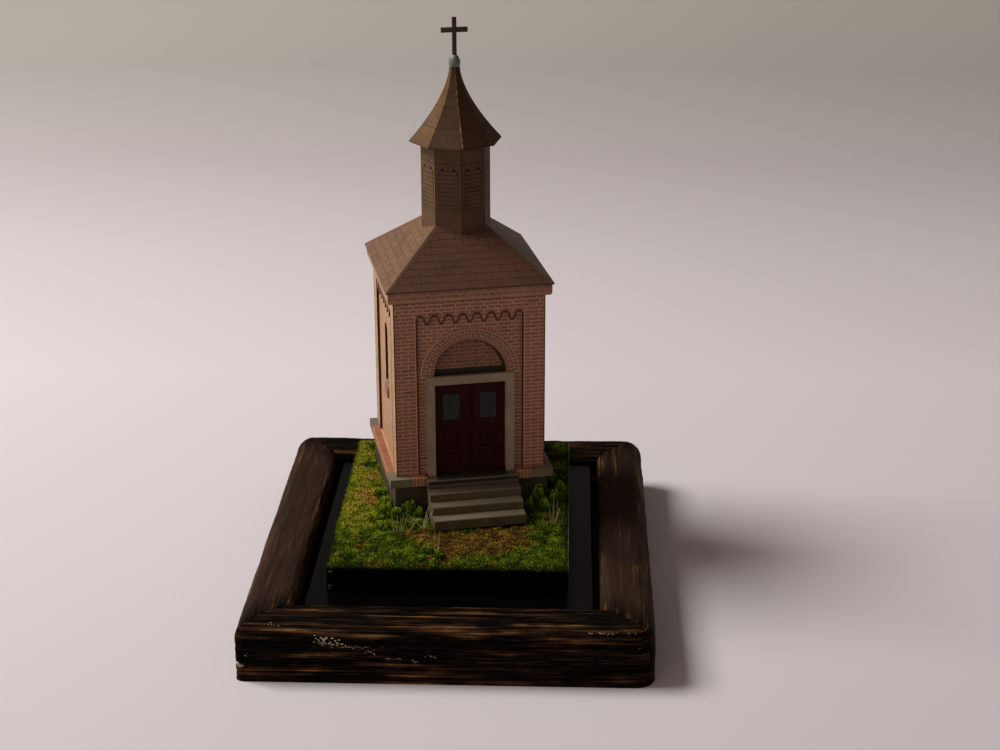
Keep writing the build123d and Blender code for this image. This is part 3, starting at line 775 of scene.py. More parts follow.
def corbel_blocks():
    """The two brick blocks of each corbel, narrowing to its foot."""
    bm = bmesh.new()
    joint = CORBEL_SOFFIT - COURSE
    least_notch = 0.55 * MM
    margin = 0.12 * MM
    for side, _ in SIDES:
        matrix = elevation(side, FRAME_HALF)
        for k in range(CORBEL_COUNT - 1):
            u = (k - (CORBEL_COUNT - 2) / 2) * CORBEL_PITCH
            for top, foot in ((CORBEL_SOFFIT, joint + JOINT / 2), (joint - JOINT / 2, CORBEL_FOOT)):
                heights = [top + (foot - top) * i / 4 for i in range(5)]
                edge = [(CORBEL_PITCH / 2 - max(notch_reach(v), least_notch) - margin, v) for v in heights]
                outline = [(u - reach, v) for reach, v in edge]
                outline += [(u + reach, v) for reach, v in edge[::-1]]
                slab(bm, outline, matrix, BRICK_PROUD, BRICK_BEVEL, brick_tone())
    piece("bricks_corbels", bm, BRICK, "brick_card")


def cornice_bricks():
    """Two courses on the cornice's upright face, all round, above its rounded foot."""
    spots = []
    height = 1.0 * MM
    step = 1.02 * MM
    for side, _ in SIDES:
        for row in range(2):
            v1 = CORNICE_TOP - 0.02 * MM - row * step
            english_bond(elevation(side, CORNICE_HALF), [(-CORNICE_HALF, CORNICE_HALF)], row, v1 - height, v1,
                         spots)
    lay("bricks_cornice", spots, BRICK_PROUD, BRICK, "brick_card")


def ring_point(angle, share):
    """A place on the door arch, a little wider at its foot: share 0 at the opening, 1 at the outer edge."""
    across = OPENING_HALF + (RING_REACH - OPENING_HALF) * share
    up = OPENING_HALF + (RING_OUTER - OPENING_HALF) * share
    return across * math.cos(angle), ARCH_CENTRE + up * math.sin(angle)


def arch_bricks():
    """Radial bricks of the door arch: each pair of lengths breaks joint with its neighbours."""
    count = 41
    matrix = elevation(FRONT, RING_OUT)
    bm = bmesh.new()
    gap = JOINT * 0.3
    joint = 0.025
    for k in range(count):
        split = (0.36, 0.66)[k % 2]
        for inner, outer in ((0.02, split - joint), (split + joint, 0.95)):
            corners = []
            for share, edge, sign in ((inner, k, 1), (outer, k, 1), (outer, k + 1, -1), (inner, k + 1, -1)):
                radius = OPENING_HALF + (RING_OUTER - OPENING_HALF) * share
                corners.append(ring_point(math.pi * edge / count + sign * gap / radius, share))
            slab(bm, corners, matrix, BRICK_PROUD, BRICK_BEVEL, brick_tone())
    piece("bricks_arch", bm, ARCH_BRICK, "brick_card")


def plinth_bricks():
    """Bricks on edge along the plinth course, on its top and on its face."""
    spots = []
    runs = [(FRONT, -STONE_EDGE, -STEP_HALF), (FRONT, STEP_HALF, STONE_EDGE)]
    runs += [(side, -STONE_EDGE, STONE_EDGE) for side in (RIGHT, BACK, LEFT)]
    height = PLINTH_TOP - PLINTH_BOTTOM
    depth = PLINTH_HALF - FRAME_HALF
    width = 0.92 * MM
    margin = 0.1 * MM
    for side, left, right in runs:
        count = round((right - left) / width)
        step = (right - left) / count
        face = elevation(side, PLINTH_HALF)
        top = lying(side, PLINTH_HALF, PLINTH_TOP)
        for k in range(count):
            u = left + (k + 0.5) * step
            tone = brick_tone()
            spots.append((face, u, (PLINTH_TOP + PLINTH_BOTTOM) / 2, step - JOINT, height - margin, tone))
            spots.append((top, u, depth / 2, step - JOINT, depth - margin, tone))
    lay("bricks_plinth", spots, BRICK_PROUD, EDGE_BRICK, "brick_card")


def corbel_path():
    """Lower edge of the table of small arches, from the left pilaster's foot round to the right one's."""
    centre = CORBEL_SOFFIT - NOTCH_HEAD
    path = []
    for k in range(CORBEL_COUNT):
        u = (k - (CORBEL_COUNT - 1) / 2) * CORBEL_PITCH
        notch = [(u - NOTCH_FOOT, CORBEL_FOOT), *arc(u, centre, NOTCH_HEAD, 180, 0, 8),
                 (u + NOTCH_FOOT, CORBEL_FOOT)]
        path += [point for point in notch if abs(point[0]) < PANEL_HALF]
    return [(-PANEL_HALF, path[0][1])] + path + [(PANEL_HALF, path[-1][1])]


def brick_outlines():
    """Ink and painted shade that edge the raised brick: round the frames' panels, the small arches and the
    door arch.
    """
    lines = bmesh.new()
    corbels = bmesh.new()
    table = corbel_path()
    foot = -0.62 * MM
    proud = 0.045 * MM
    shade_foot = CORBEL_SOFFIT - 0.45 * MM
    for side, _ in SIDES:
        face = elevation(side, FRAME_HALF)
        # Painted shade along the small arches' edges, and under each crown a painted shadow on the field.
        ribbon(corbels, table, face, -0.03 * MM, 0.36 * MM, foot, proud)
        for k in range(CORBEL_COUNT):
            u = (k - (CORBEL_COUNT - 1) / 2) * CORBEL_PITCH
            shade = [(max(min(u + du * MM, PANEL_HALF), -PANEL_HALF), v) for du, v in (
                (-1.0, shade_foot), (1.0, shade_foot), (0.8, CORBEL_SOFFIT), (-0.8, CORBEL_SOFFIT))]
            slab(corbels, shade, elevation(side, FIELD_HALF), 0.06 * MM)
        for sign in (-1, 1):
            edge = [(sign * PANEL_HALF, v) for v in (PLINTH_TOP, table[0][1])][::sign]
            ribbon(lines, edge, face, -0.34 * MM, 0.03 * MM, foot, proud)
            corner = sorted((sign * (FRAME_HALF - 0.2 * MM), sign * FRAME_HALF))
            slab(lines, box(*corner, PLINTH_TOP, WALL_TOP), face, proud)
    # Painted shade on the door arch's intrados.
    arris = arc(0, ARCH_CENTRE, OPENING_HALF, 0, 180, 30)
    ribbon(lines, arris, elevation(FRONT, FIELD_HALF), -0.08 * MM, 0.05 * MM, -1.0 * MM, 0.38 * MM)
    piece("brick_shadow_lines", lines, BRICK_ARRIS, "brick_card")
    piece("corbel_shade", corbels, CORBEL_SHADE, "brick_card")


def soffit_shade():
    """The painted shade along the walls' tops, under the cornice: a soft dark band."""
    bm = bmesh.new()
    foot = WALL_TOP - 0.42 * MM
    for side, _ in SIDES:
        slab(bm, box(-FRAME_HALF, FRAME_HALF, foot, WALL_TOP), elevation(side, FRAME_HALF), 0.07 * MM)
    piece("cornice_soffit_shade", bm, SOFFIT_SHADE, "brick_card")


def arch_outer_line():
    """The pale mortar line round the arch."""
    bm = bmesh.new()
    path = [ring_point(math.pi * i / 40, 0.97) for i in range(41)]
    path = [(path[0][0], SURROUND_TOP)] + path + [(path[-1][0], SURROUND_TOP)]
    ribbon(bm, path, elevation(FRONT, FIELD_HALF), -0.12 * MM, 0.09 * MM, 0.0, 0.41 * MM)
    piece("arch_outer_mortar", bm, MORTAR, "brick_card")


# ---- roof ----
TILE_WIDTH = 4.1 * MM
TILE_ROW = 2.12 * MM
TILE_GAP = 0.09 * MM
TILE_PROUD = 0.05 * MM
TILE_BEVEL = 0.02 * MM
HIP_WIDTH = 0.9 * MM
SMALLEST_TILE = (0.25 * MM) ** 2


def roof_tiles():
    """Rows of plain tiles on the four slopes, cut to the hip strips."""
    dice = random.Random(47)
    tiles = bmesh.new()
    strips = bmesh.new()
    lean = math.cos(ROOF_PITCH)
    normal = math.hypot(1.0, lean)
    hidden_by_turret = 5.2 * MM
    slope_top = (EAVE_HALF - hidden_by_turret) / lean
    for side, _ in SIDES:
        tilt = Matrix.Rotation(-(math.pi / 2 - ROOF_PITCH), 4, "X")
        matrix = elevation(side, EAVE_HALF) @ Matrix.Translation((0, EAVE_TOP, 0)) @ tilt
        for row in range(math.ceil(slope_top / TILE_ROW)):
            v0 = row * TILE_ROW + (TILE_GAP if row else 0.0)
            v1 = min((row + 1) * TILE_ROW, slope_top)
            for k in range(-7, 8):
                u0 = (k + 0.5 * (row % 2)) * TILE_WIDTH + TILE_GAP / 2
                tile = box(u0, u0 + TILE_WIDTH - TILE_GAP, v0, v1)
                for sign in (-1, 1):
                    tile = clip(tile, sign, lean, EAVE_HALF - (HIP_WIDTH + TILE_GAP) * normal)
                if len(tile) > 2 and outline_area(tile) > SMALLEST_TILE:
                    slab(tiles, tile, matrix, TILE_PROUD, TILE_BEVEL, dice.random())
        edge = EAVE_HALF - 0.02 * MM
        eave = box(-edge, edge, CORNICE_TOP + 0.03 * MM, EAVE_TOP)
        slab(strips, eave, elevation(side, EAVE_HALF), 0.04 * MM)
        for sign in (-1, 1):
            outer = [(sign * (edge - v * lean), v) for v in (0, slope_top)]
            inner = [(sign * (edge - HIP_WIDTH * normal - v * lean), v) for v in (slope_top, 0)]
            slab(strips, outer + inner, matrix, TILE_PROUD, TILE_BEVEL)
    piece("roof_tiles", tiles, TILE, "roof_card")
    piece("roof_hip_strips", strips, HIP_STRIP, "roof_card")


# ---- turret and spire ----
LOUVRE_HALF = 2.8 * MM
LOUVRE_BOTTOM = TURRET_HIP + 3.35 * MM
LOUVRE_TOP = TURRET_TOP - 5.1 * MM
LOUVRE_CROWN = LOUVRE_TOP - LOUVRE_HALF
BAND = TURRET_TOP - 4.45 * MM
FACE_HALF = TURRET_RADIUS * math.sin(math.pi / 8)


def turret_faces():
    """Eight card faces: a plain band above a sheet with an arched louvre, its rim line and its slats."""
    sheets = bmesh.new()
    rims = bmesh.new()
    slats = []
    edge = FACE_HALF - 0.07 * MM
    seam = 0.06 * MM
    sheet_proud = 0.06 * MM
    head = arc(0, LOUVRE_CROWN, LOUVRE_HALF, 90, 0, 8)
    rows = round((LOUVRE_TOP - LOUVRE_BOTTOM) / (1.06 * MM))
    pitch = (LOUVRE_TOP - LOUVRE_BOTTOM) / rows
    for k in range(8):
        matrix = upright(math.radians(45 * k + 22.5), TURRET_APOTHEM)
        slab(sheets, box(-edge, edge, BAND + seam, TURRET_TOP - 0.02 * MM), matrix, sheet_proud)
        for sign in (-1, 1):
            parts = [box(0, edge, TURRET_HIP - 2.0 * MM, LOUVRE_BOTTOM),
                     box(LOUVRE_HALF, edge, LOUVRE_BOTTOM, BAND - seam)]
            for (ua, va), (ub, vb) in zip(head, head[1:]):
                parts.append([(ua, va), (ub, vb), (ub, BAND - seam), (ua, BAND - seam)])
            for outline in parts:
                slab(sheets, [(sign * u, v) for u, v in outline], matrix, sheet_proud)
        rim = [(LOUVRE_HALF, LOUVRE_BOTTOM), *arc(0, LOUVRE_CROWN, LOUVRE_HALF, 0, 180, 16),
               (-LOUVRE_HALF, LOUVRE_BOTTOM)]
        ribbon(rims, rim, matrix, -0.03 * MM, 0.05 * MM, -0.22 * MM, 0.02 * MM)
        ledge = box(-LOUVRE_HALF, LOUVRE_HALF, LOUVRE_BOTTOM - 0.04 * MM, LOUVRE_BOTTOM + 0.06 * MM)
        slab(rims, ledge, matrix, 0.065 * MM, sunk=0.2 * MM)
        for r in range(rows):
            v = LOUVRE_BOTTOM + (r + 0.5) * pitch
            reach = chord(LOUVRE_HALF, max(v + pitch / 4 - LOUVRE_CROWN, 0.0)) - 0.03 * MM
            lean = Matrix.Translation((0, v, -0.08 * MM)) @ Matrix.Rotation(math.radians(2), 4, "X")
            slats.append((matrix @ lean, 0, 0, 2 * reach, pitch * 0.97, 0.5))
    piece("turret_card_faces", sheets, TURRET_CARD, "turret_card")
    piece("turret_louvre_rims", rims, SLAT, "turret_card")
    lay("turret_louvre_slats", slats, 0.17 * MM, SLAT, "turret_card")


def spire_radius(height):
    """Corner radius of the spire at a height above its eave."""
    tip = 1.3 * MM
    lip = 0.35 * MM
    share = min(max((height - lip) / (high("spire").z - TURRET_TOP - lip), 0.0), 1.0)
    return tip + (SPIRE_RADIUS - 0.15 * MM - tip) * (1 - share) ** 1.62


def spire_lines():
    """The bare card core along the front arris, dark arrises elsewhere, and the joints across the faces."""
    dice = random.Random(59)
    core = bmesh.new()
    joints = bmesh.new()
    front_arris = 6
    full = high("spire").z - TURRET_TOP
    line = 0.045 * MM
    card_joints = (4.4 * MM, 9.2 * MM)
    arrises = [turned(math.cos(k * math.pi / 4), math.sin(k * math.pi / 4)) for k in range(8)]
    for k, direction in enumerate(arrises):
        across = direction.cross(Vector((0, 0, 1)))
        target = core if k == front_arris else joints
        rings = []
        for i in range(41):
            height = 0.02 * MM + (full - 0.05 * MM) * i / 40
            at = Vector((AXIS.x, AXIS.y, TURRET_TOP + height)) + direction * spire_radius(height)
            width = line
            if k == front_arris:
                width = dice.choice((0.01, 0.045, 0.06, 0.075)) * MM if i < 30 else 0.01 * MM
            rings.append([target.verts.new(at + direction * w * MM + across * a * width) for w, a in (
                (-0.12, 2), (0.04, 0.3), (0.04, -0.3), (-0.12, -2))])
        joined(target, rings)
    for height in card_joints:
        rings = []
        for direction in arrises:
            ring = []
            for dh, out in ((-line, -0.05 * MM), (-line, 0.03 * MM), (line, 0.03 * MM), (line, -0.05 * MM)):
                at = Vector((AXIS.x, AXIS.y, TURRET_TOP + height + dh))
                ring.append(joints.verts.new(at + direction * (spire_radius(height + dh) + out)))
            rings.append(ring)
        joined(joints, rings, closed=True)
    piece("spire_front_arris_core", core, CARD_CORE, "turret_card")
    piece("spire_joint_lines", joints, TURRET_LINE, "turret_card")


# ---- doorway and windows ----
def door_lights():
    """Leaded lights of the two leaves: a pane, a thin frame and a net of cames."""
    panes = bmesh.new()
    cames = bmesh.new()
    matrix = elevation(FRONT, LEAF_OUT - LEAF_RELIEF)
    half = 2.02 * MM
    rim = 0.45 * MM
    mesh = 0.95 * MM
    bar_half = 0.04 * MM
    top = LIGHT_TOP - 0.03 * MM
    bottom = LIGHT_BOTTOM + 0.03 * MM
    for sign in (-1, 1):
        centre = sign * LIGHT_X
        outline = box(centre - half, centre + half, bottom, top)
        slab(panes, outline, matrix, 0.04 * MM)
        ribbon(cames, outline + outline[:1], matrix, 0.0, 0.13 * MM, 0.0, 0.14 * MM)
        inner = box(centre - half + rim, centre + half - rim, bottom + rim, top - rim)
        ribbon(cames, inner + inner[:1], matrix, 0.0, 0.08 * MM, 0.0, 0.09 * MM)
        for lean in (-1, 1):
            for k in range(-5, 6):
                offset = lean * centre + (top + bottom) / 2 + k * mesh
                bar = clip(inner, lean, 1, offset + bar_half)
                bar = clip(bar, -lean, -1, -offset + bar_half) if len(bar) > 2 else bar
                if len(bar) > 2 and outline_area(bar) > 1e-10:
                    slab(cames, bar, matrix, 0.07 * MM)
    piece("door_light_panes", panes, PANE, "door_card")
    piece("door_light_cames", cames, LEAD, "door_card")


def door_mouldings():
    """Raised mouldings round the panels and lights, raised fields, and beads on the meeting stile."""
    bm = bmesh.new()
    matrix = elevation(FRONT, LEAF_OUT)
    sunk = elevation(FRONT, LEAF_OUT - LEAF_RELIEF)
    stile = elevation(FRONT, LEAF_OUT + LEAF_RELIEF)
    border = 0.5 * MM
    panels = ((LEAF_FOOT + 2.0 * MM, LEAF_FOOT + 5.6 * MM), (LEAF_FOOT + 7.0 * MM, LIGHT_BOTTOM - 1.4 * MM),
              (LIGHT_BOTTOM, LIGHT_TOP))
    for sign in (-1, 1):
        a, b = sorted((sign * 2.75 * MM, sign * 6.85 * MM))
        for index, (v0, v1) in enumerate(panels):
            outline = box(a, b, v0, v1)
            ribbon(bm, outline + outline[:1], matrix, -0.12 * MM, 0.0, -0.1 * MM, 0.06 * MM)
            if index < 2:
                field = box(a + border, b - border, v0 + border, v1 - border)
                slab(bm, field, sunk, 0.14 * MM, 0.12 * MM)
        head = arc(sign * LIGHT_X, LIGHT_TOP - 1.9 * MM, 3.15 * MM, 130, 50, 10)
        ribbon(bm, head, matrix, -0.07 * MM, 0.07 * MM, -0.1 * MM, 0.08 * MM)
    for u in (0.14 * MM, 0.38 * MM, 0.6 * MM):
        bead = box(u - 0.05 * MM, u + 0.05 * MM, LEAF_FOOT, LINTEL_BOTTOM)
        slab(bm, bead, stile, 0.06 * MM, 0.02 * MM)
    piece("door_mouldings", bm, DOOR_EDGE, "door_card")


def tympanum_foot():
    """The dark ledge band of painted shade at the foot of the tympanum, behind the lintel."""
    bm = bmesh.new()
    band = box(-OPENING_HALF, OPENING_HALF, SURROUND_TOP - 0.4 * MM, SURROUND_TOP + COURSE * 1.5)
    slab(bm, band, elevation(FRONT, TYMPANUM_OUT), 0.12 * MM)
    piece("tympanum_foot_band", bm, SHADE_BAND, "brick_card")


def arch_shade():
    """A painted shadow: the soft dark crescent that the arch throws on the brick under it, widest beside
    its right foot.
    """
    bm = bmesh.new()
    matrix = elevation(FRONT, TYMPANUM_OUT)
    widest = 0.7 * MM
    steps = 30
    rings = []
    for i in range(steps + 1):
        a = math.radians(2 + 176 * i / steps)
        inner = OPENING_HALF - widest * chord(1.02, i / steps)
        rings.append([bm.verts.new(matrix @ Vector((r * math.cos(a), ARCH_CENTRE + r * math.sin(a), w * MM)))
                      for r, w in (
                          (OPENING_HALF, -0.05), (OPENING_HALF, 0.07), (inner, 0.05), (inner, -0.05))])
    joined(bm, rings)
    piece("tympanum_arch_shade", bm, BRICK_ARRIS, "brick_card")


def step_edges():
    """Pale nosings along the front of each tread, and down the steps' left edge: partly wear, partly painted
    highlight.
    """
    bm = bmesh.new()
    proud = 0.03 * MM
    for k in range(4):
        top = THRESHOLD_TOP - STEP_RISE * k
        out = STEP_FRONT + STEP_TREAD * k
        riser = elevation(FRONT, out)
        slab(bm, box(-STEP_HALF, STEP_HALF, 0.1 * MM, 0.24 * MM), lying(FRONT, out, top), proud)
        slab(bm, box(-STEP_HALF, STEP_HALF, top - 0.22 * MM, top - 0.1 * MM), riser, proud)
        slab(bm, box(-STEP_HALF, -STEP_HALF + 0.14 * MM, top - STEP_RISE, top - 0.2 * MM), riser, proud)
    piece("step_worn_nosings", bm, STEP_EDGE, "stone_card")


def step_treads():
    """The four treads, each darker than the one before it towards the door as painted shade, and a painted
    shadow under the landing.
    """
    bm = bmesh.new()
    start = 0.1 * MM
    for k, tone in enumerate((0.1, 0.45, 0.76, 0.98)):
        end = STEP_TREAD - 0.02 * MM if k else STEP_FRONT - LEAF_OUT
        half = (STEP_HALF if k else OPENING_HALF) - 0.05 * MM
        lie = lying(FRONT, STEP_FRONT + STEP_TREAD * k, THRESHOLD_TOP - STEP_RISE * k)
        slab(bm, box(-half, half, start, end), lie, 0.02 * MM, tint=tone)
    # A painted shadow on the riser just under the landing's nosing.
    half = STEP_HALF - 0.1 * MM
    under = THRESHOLD_TOP - 0.3 * MM
    slab(bm, box(-half, half, under - 0.8 * MM, under), elevation(FRONT, STEP_FRONT), 0.03 * MM, tint=0.1)
    piece("step_treads", bm, TREAD_STONE, "stone_card")


def side_windows():
    """Reveals painted dark as shade, and glazing bars, of the two round-headed side windows."""
    bars = bmesh.new()
    reveals = bmesh.new()
    recess = 0.9 * MM
    crown = WINDOW_TOP - WINDOW_HALF
    outline = [(WINDOW_HALF, WINDOW_BOTTOM), *arc(0, crown, WINDOW_HALF, 0, 180, 16),
               (-WINDOW_HALF, WINDOW_BOTTOM)]
    for side in (LEFT, RIGHT):
        glass = elevation(side, FIELD_HALF - recess)
        ribbon(reveals, outline, elevation(side, FIELD_HALF), -0.05 * MM, 0.12 * MM, -recess, 0.08 * MM)
        slab(bars, box(-0.12 * MM, 0.12 * MM, WINDOW_BOTTOM, WINDOW_TOP - 0.1 * MM), glass, 0.2 * MM)
        for k in range(1, 5):
            v = WINDOW_BOTTOM + (crown - WINDOW_BOTTOM) * k / 4
            slab(bars, box(-WINDOW_HALF, WINDOW_HALF, v - 0.06 * MM, v + 0.06 * MM), glass, 0.18 * MM)
    piece("side_window_bars", bars, LEAD, "window_card")
    piece("side_window_reveals", reveals, BRICK_ARRIS, "window_card")


# ---- stand ----
CORNER = 5.0 * MM
SHARP_CORNER = 2.0 * MM
SHOULDER = 4.6 * MM
INNER_ROUND = 3.6 * MM


def rail_profile():
    """Section of a rail, inner foot to outer foot: (distance in from the outer face, height, rub)."""
    crest = RAIL_HEIGHT - 0.03 * MM
    points = [(RAIL_WIDTH, (crest - INNER_ROUND) * i / 7, 0.0) for i in range(7)]
    for i in range(13):
        a = math.pi / 2 * i / 12
        points.append((RAIL_WIDTH - INNER_ROUND * (1 - math.cos(a)), crest - INNER_ROUND * (1 - math.sin(a)),
                       0.1 + 0.6 * math.sin(2 * a) ** 2))
    flat = RAIL_WIDTH - INNER_ROUND - SHOULDER
    points += [(RAIL_WIDTH - INNER_ROUND - flat * i / 10, crest, 0.35) for i in range(1, 10)]
    for i in range(15):
        a = math.pi / 2 * i / 14
        points.append((SHOULDER * (1 - math.sin(a)), crest - SHOULDER * (1 - math.cos(a)),
                       0.2 + 0.5 * math.sin(2 * a) ** 2))
    points += [(0.0, (crest - SHOULDER) * (1 - i / 16), 0.2 + 0.5 * (i / 16) ** 2) for i in range(1, 17)]
    return points


def rail_point(side, share, inward, height):
    """A place on a rail and its run: share goes 0 to 1 from mitre to mitre, round half of each corner."""
    sharp = (side == FRONT and share < 0.5) or (side == LEFT and share > 0.5)
    half = (STAND_HALF_X if side in (FRONT, BACK) else STAND_HALF_Y) - inward
    radius = max((SHARP_CORNER if sharp else CORNER) - inward, 0.05 * MM)
    straight = half - radius
    run = (share - 0.5) * 2 * (straight + math.pi / 4 * radius)
    over = (abs(run) - straight) / radius
    u, back = run, 0.0
    if over > 0:
        u = math.copysign(straight + radius * math.sin(over), run)
        back = radius * (1 - math.cos(over))
    depth = (STAND_HALF_Y if side in (FRONT, BACK) else STAND_HALF_X) - inward - back
    x, y = [(u, -depth), (depth, u), (-u, depth), (-depth, -u)][side]
    return Vector((x, y, height)), run


def stand_rails():
    """Four mitred rails, their stain and soft wood worn down along the grain."""
    profile = rail_profile()
    steps = 240
    sheen_share = 0.48
    sheen_fade = 24
    heart = 4 * MM
    for side, name in SIDES:
        bm = bmesh.new()
        rub = bm.verts.layers.float.new("rub")
        fleck_and_sheen = bm.verts.layers.float.new("fleck_and_sheen")
        along = bm.loops.layers.uv.new("along")
        shift = Vector((37.0 * side, 11.0 * side, 5.0))
        places = {}
        rings = []
        girth = [0.0]
        for a, b in zip(profile, profile[1:]):
            girth.append(girth[-1] + math.hypot(a[0] - b[0], a[1] - b[1]))
        for k in range(steps + 1):
            ring = []
            for (inward, height, wear), girl in zip(profile, girth):
                spot, run = rail_point(side, k / steps, inward, height)
                s, r = run / MM, girl / MM
                furrow = noise.fractal(Vector((s / 18, r / 1.3, 0)) + shift, 0.6, 2.1, 4)
                nick = noise.fractal(Vector((s / 8, r / 0.5, 9)) + shift, 0.7, 2.0, 3)
                core = rail_point(side, k / steps, min(max(inward, heart), RAIL_WIDTH - heart),
                                  min(height, RAIL_HEIGHT - heart))[0]
                depth = max(0.0, 0.14 + 0.2 * furrow + 0.12 * nick) * MM
                inwards = (core - spot).normalized() if (core - spot).length > 1e-6 else Vector()
                inwards.z = min(inwards.z, 0.0)
                vertex = bm.verts.new(spot + inwards * depth * (0.0 if height < 0.2 * MM else 1.0))
                vertex[rub] = min(1.0, max(0.0, wear - 0.5 * furrow))
                # Painted sheen on the side rails, faded out towards their mitres.
                if side in (LEFT, RIGHT):
                    vertex[fleck_and_sheen] = sheen_share * min(1.0, min(k, steps - k) / sheen_fade)
                places[vertex] = (run, girl)
                ring.append(vertex)
            rings.append(ring)
        joined(bm, rings)
        for face in bm.faces:
            for loop in face.loops:
                run, girl = places[loop.vert]
                loop[along].uv = (run + 0.3 * side, girl)
        piece("rail_" + name, bm, RAIL, "rail_wood", "stand_rail_" + name, smooth=True)


def rail_chips():
    """Pale chips in the front rail's stain: middle, spread, number and largest size of each cluster."""
    dice = random.Random(67)
    bm = bmesh.new()
    shoulder = SHOULDER / MM
    for x, z, spread_x, spread_z, count, largest in (
            (-28.5, 11.5, 1.4, 0.5, 16, 0.3), (-26.0, 10.6, 1.6, 0.35, 20, 0.34),
            (-21.5, 9.7, 2.6, 0.12, 14, 0.22), (-17.0, 8.3, 1.2, 0.3, 7, 0.2),
            (-13.0, 6.8, 1.4, 0.15, 6, 0.18), (-7.1, 6.0, 0.3, 0.4, 5, 0.22),
            (-3.2, 7.8, 0.8, 0.4, 6, 0.2), (-48.8, 4.2, 0.35, 0.45, 12, 0.32),
            (-46.6, 7.0, 0.4, 0.3, 3, 0.16), (39.0, 13.8, 1.8, 0.12, 12, 0.2),
            (-41.1, 14.3, 0.8, 0.2, 3, 0.14), (46.4, 10.0, 0.4, 0.8, 6, 0.16)):
        for _ in range(int(1.7 * count)):
            along = x + dice.gauss(0, spread_x)
            height = z + dice.gauss(0, spread_z)
            straight = (STAND_HALF_X - (SHARP_CORNER if along < 0 else CORNER)) / MM
            edge = max(abs(along) - straight, 0.0)
            rise = min(max(height - RAIL_HEIGHT / MM + shoulder + 0.03, 0.0), shoulder - 0.1)
            y = -STAND_HALF_Y / MM + shoulder - chord(shoulder, rise) + edge * edge * 0.3 + 0.3
            size = 0.8 * largest * dice.uniform(0.25, 1.0)
            corners = [(size * dice.uniform(0.7, 1.9), 0), (0, size * 0.5),
                       (-size * dice.uniform(0.7, 1.9), 0), (0, -size * 0.5)]
            rings = [[bm.verts.new(Vector((along + du, y + dy, height + dz)) * MM) for du, dz in corners]
                     for dy in (0.15, -0.26)]
            joined(bm, rings)
    piece("rail_chips", bm, BARE_WOOD, "rail_wood")


def block_arris():
    """Painted highlights: a grey line along the block's right side and glints at its front corners."""
    bm = bmesh.new()
    lo, hi = low("stand_block"), high("stand_block")
    top = Matrix.Translation((0, 0, hi.z))
    slab(bm, box(hi.x - 0.05 * MM, hi.x + 0.1 * MM, lo.y + 1 * MM, hi.y), top, 0.55 * MM, sunk=1.0 * MM)
    dice = random.Random(73)
    for x, z0, z1 in ((lo.x + 0.2 * MM, 0.3, 1.0), (lo.x + 0.3 * MM, 4.3, 5.6)):
        for _ in range(9):
            spot = Vector((x + dice.uniform(0, 1.2) * MM, lo.y - 0.02 * MM, hi.z - dice.uniform(z0, z1) * MM))
            size = dice.uniform(0.06, 0.16) * MM
            rings = [[bm.verts.new(spot + Vector((du * size * 1.6, dy, dz * size))) for du, dz in (
                (1, 0), (0, 1), (-1, 0), (0, -1))] for dy in (0.05 * MM, -0.04 * MM)]
            joined(bm, rings)
    piece("block_worn_arris", bm, BLOCK_EDGE, "black_wood")


# ---- groundwork ----
THREE_SIDES = (0.0, 2.1, 4.2)


def chapel_distance(x, y):
    """Distance out from the foundation's foot or the steps, negative under them."""
    rel = Vector((x - AXIS.x, y - AXIS.y, 0))
    u = rel.dot(turned(1, 0))
    v = rel.dot(turned(0, 1))
    steps = max(abs(u) - STEP_HALF, -v - STEP_FRONT - 3 * STEP_TREAD, v)
    return min(max(abs(u), abs(v)) - square_half("foundation"), steps)


def ground_height(x, y):
    """Height of the turf mat, with soft lumps and a rounded rim."""
    lumps = noise.fractal(Vector((x / (3.0 * MM), y / (3.0 * MM), 3.0)), 0.8, 2.0, 4)
    edge = min(x - TURF_LOW.x, TURF_HIGH.x - x, y - TURF_LOW.y, TURF_HIGH.y - y)
    rim = min(1.0, max(edge, 0.0) / (1.2 * MM))
    return BLOCK_TOP + (0.35 + 0.6 * rim + 0.6 * max(lumps, -0.9) * rim) * MM


def bare_earth(x, y):
    """1 where brown earth shows through the turf: before the steps, and in patches left of the chapel."""
    patch = noise.fractal(Vector((x / (7 * MM), y / (7 * MM), 21.0)), 0.6, 2.0, 4)
    value = 0.5 * patch - 0.27
    for cx, cy, reach, gain in ((8, -21, 8, 1.1), (3, -25, 5, 0.5), (15, -18, 6, 0.7), (-23, 5, 5, 1.0),
                                (-23, 20, 5, 0.4), (-4, -32, 4, 0.3), (-9, -18, 4, 0.6), (-3, -20, 5, 0.8),
                                (26, -9, 3, 0.6), (-19, -34, 9, 0.35), (-3, -35, 6, 0.4), (-24, -22, 4, 0.3)):
        distance = math.hypot(x / MM - cx, y / MM - cy) / reach
        value += gain * math.exp(-distance * distance)
    return min(1.0, max(0.0, value * 3.0))


def turf_hue(x, y):
    """Local tone of the grass: green before the chapel, yellower at its left, darker in the hollows as
    painted shade.
    """
    cloud = noise.fractal(Vector((x / (3 * MM), y / (3 * MM), 41.0)), 0.8, 2.0, 4)
    fine = noise.noise(Vector((x / (0.9 * MM), y / (0.9 * MM), 5.0)))
    left = min(1.0, max(0.0, (-x / MM - 12) / 14)) * min(1.0, max(0.0, (y / MM + 22) / 12))
    # Painted shade: lower ground takes a darker tone, higher ground a paler one.
    hollow = (ground_height(x, y) - BLOCK_TOP) / MM - 0.95
    return min(1.0, max(0.0, 0.42 + 0.3 * cloud + 0.2 * fine + 0.45 * hollow + 0.42 * left))


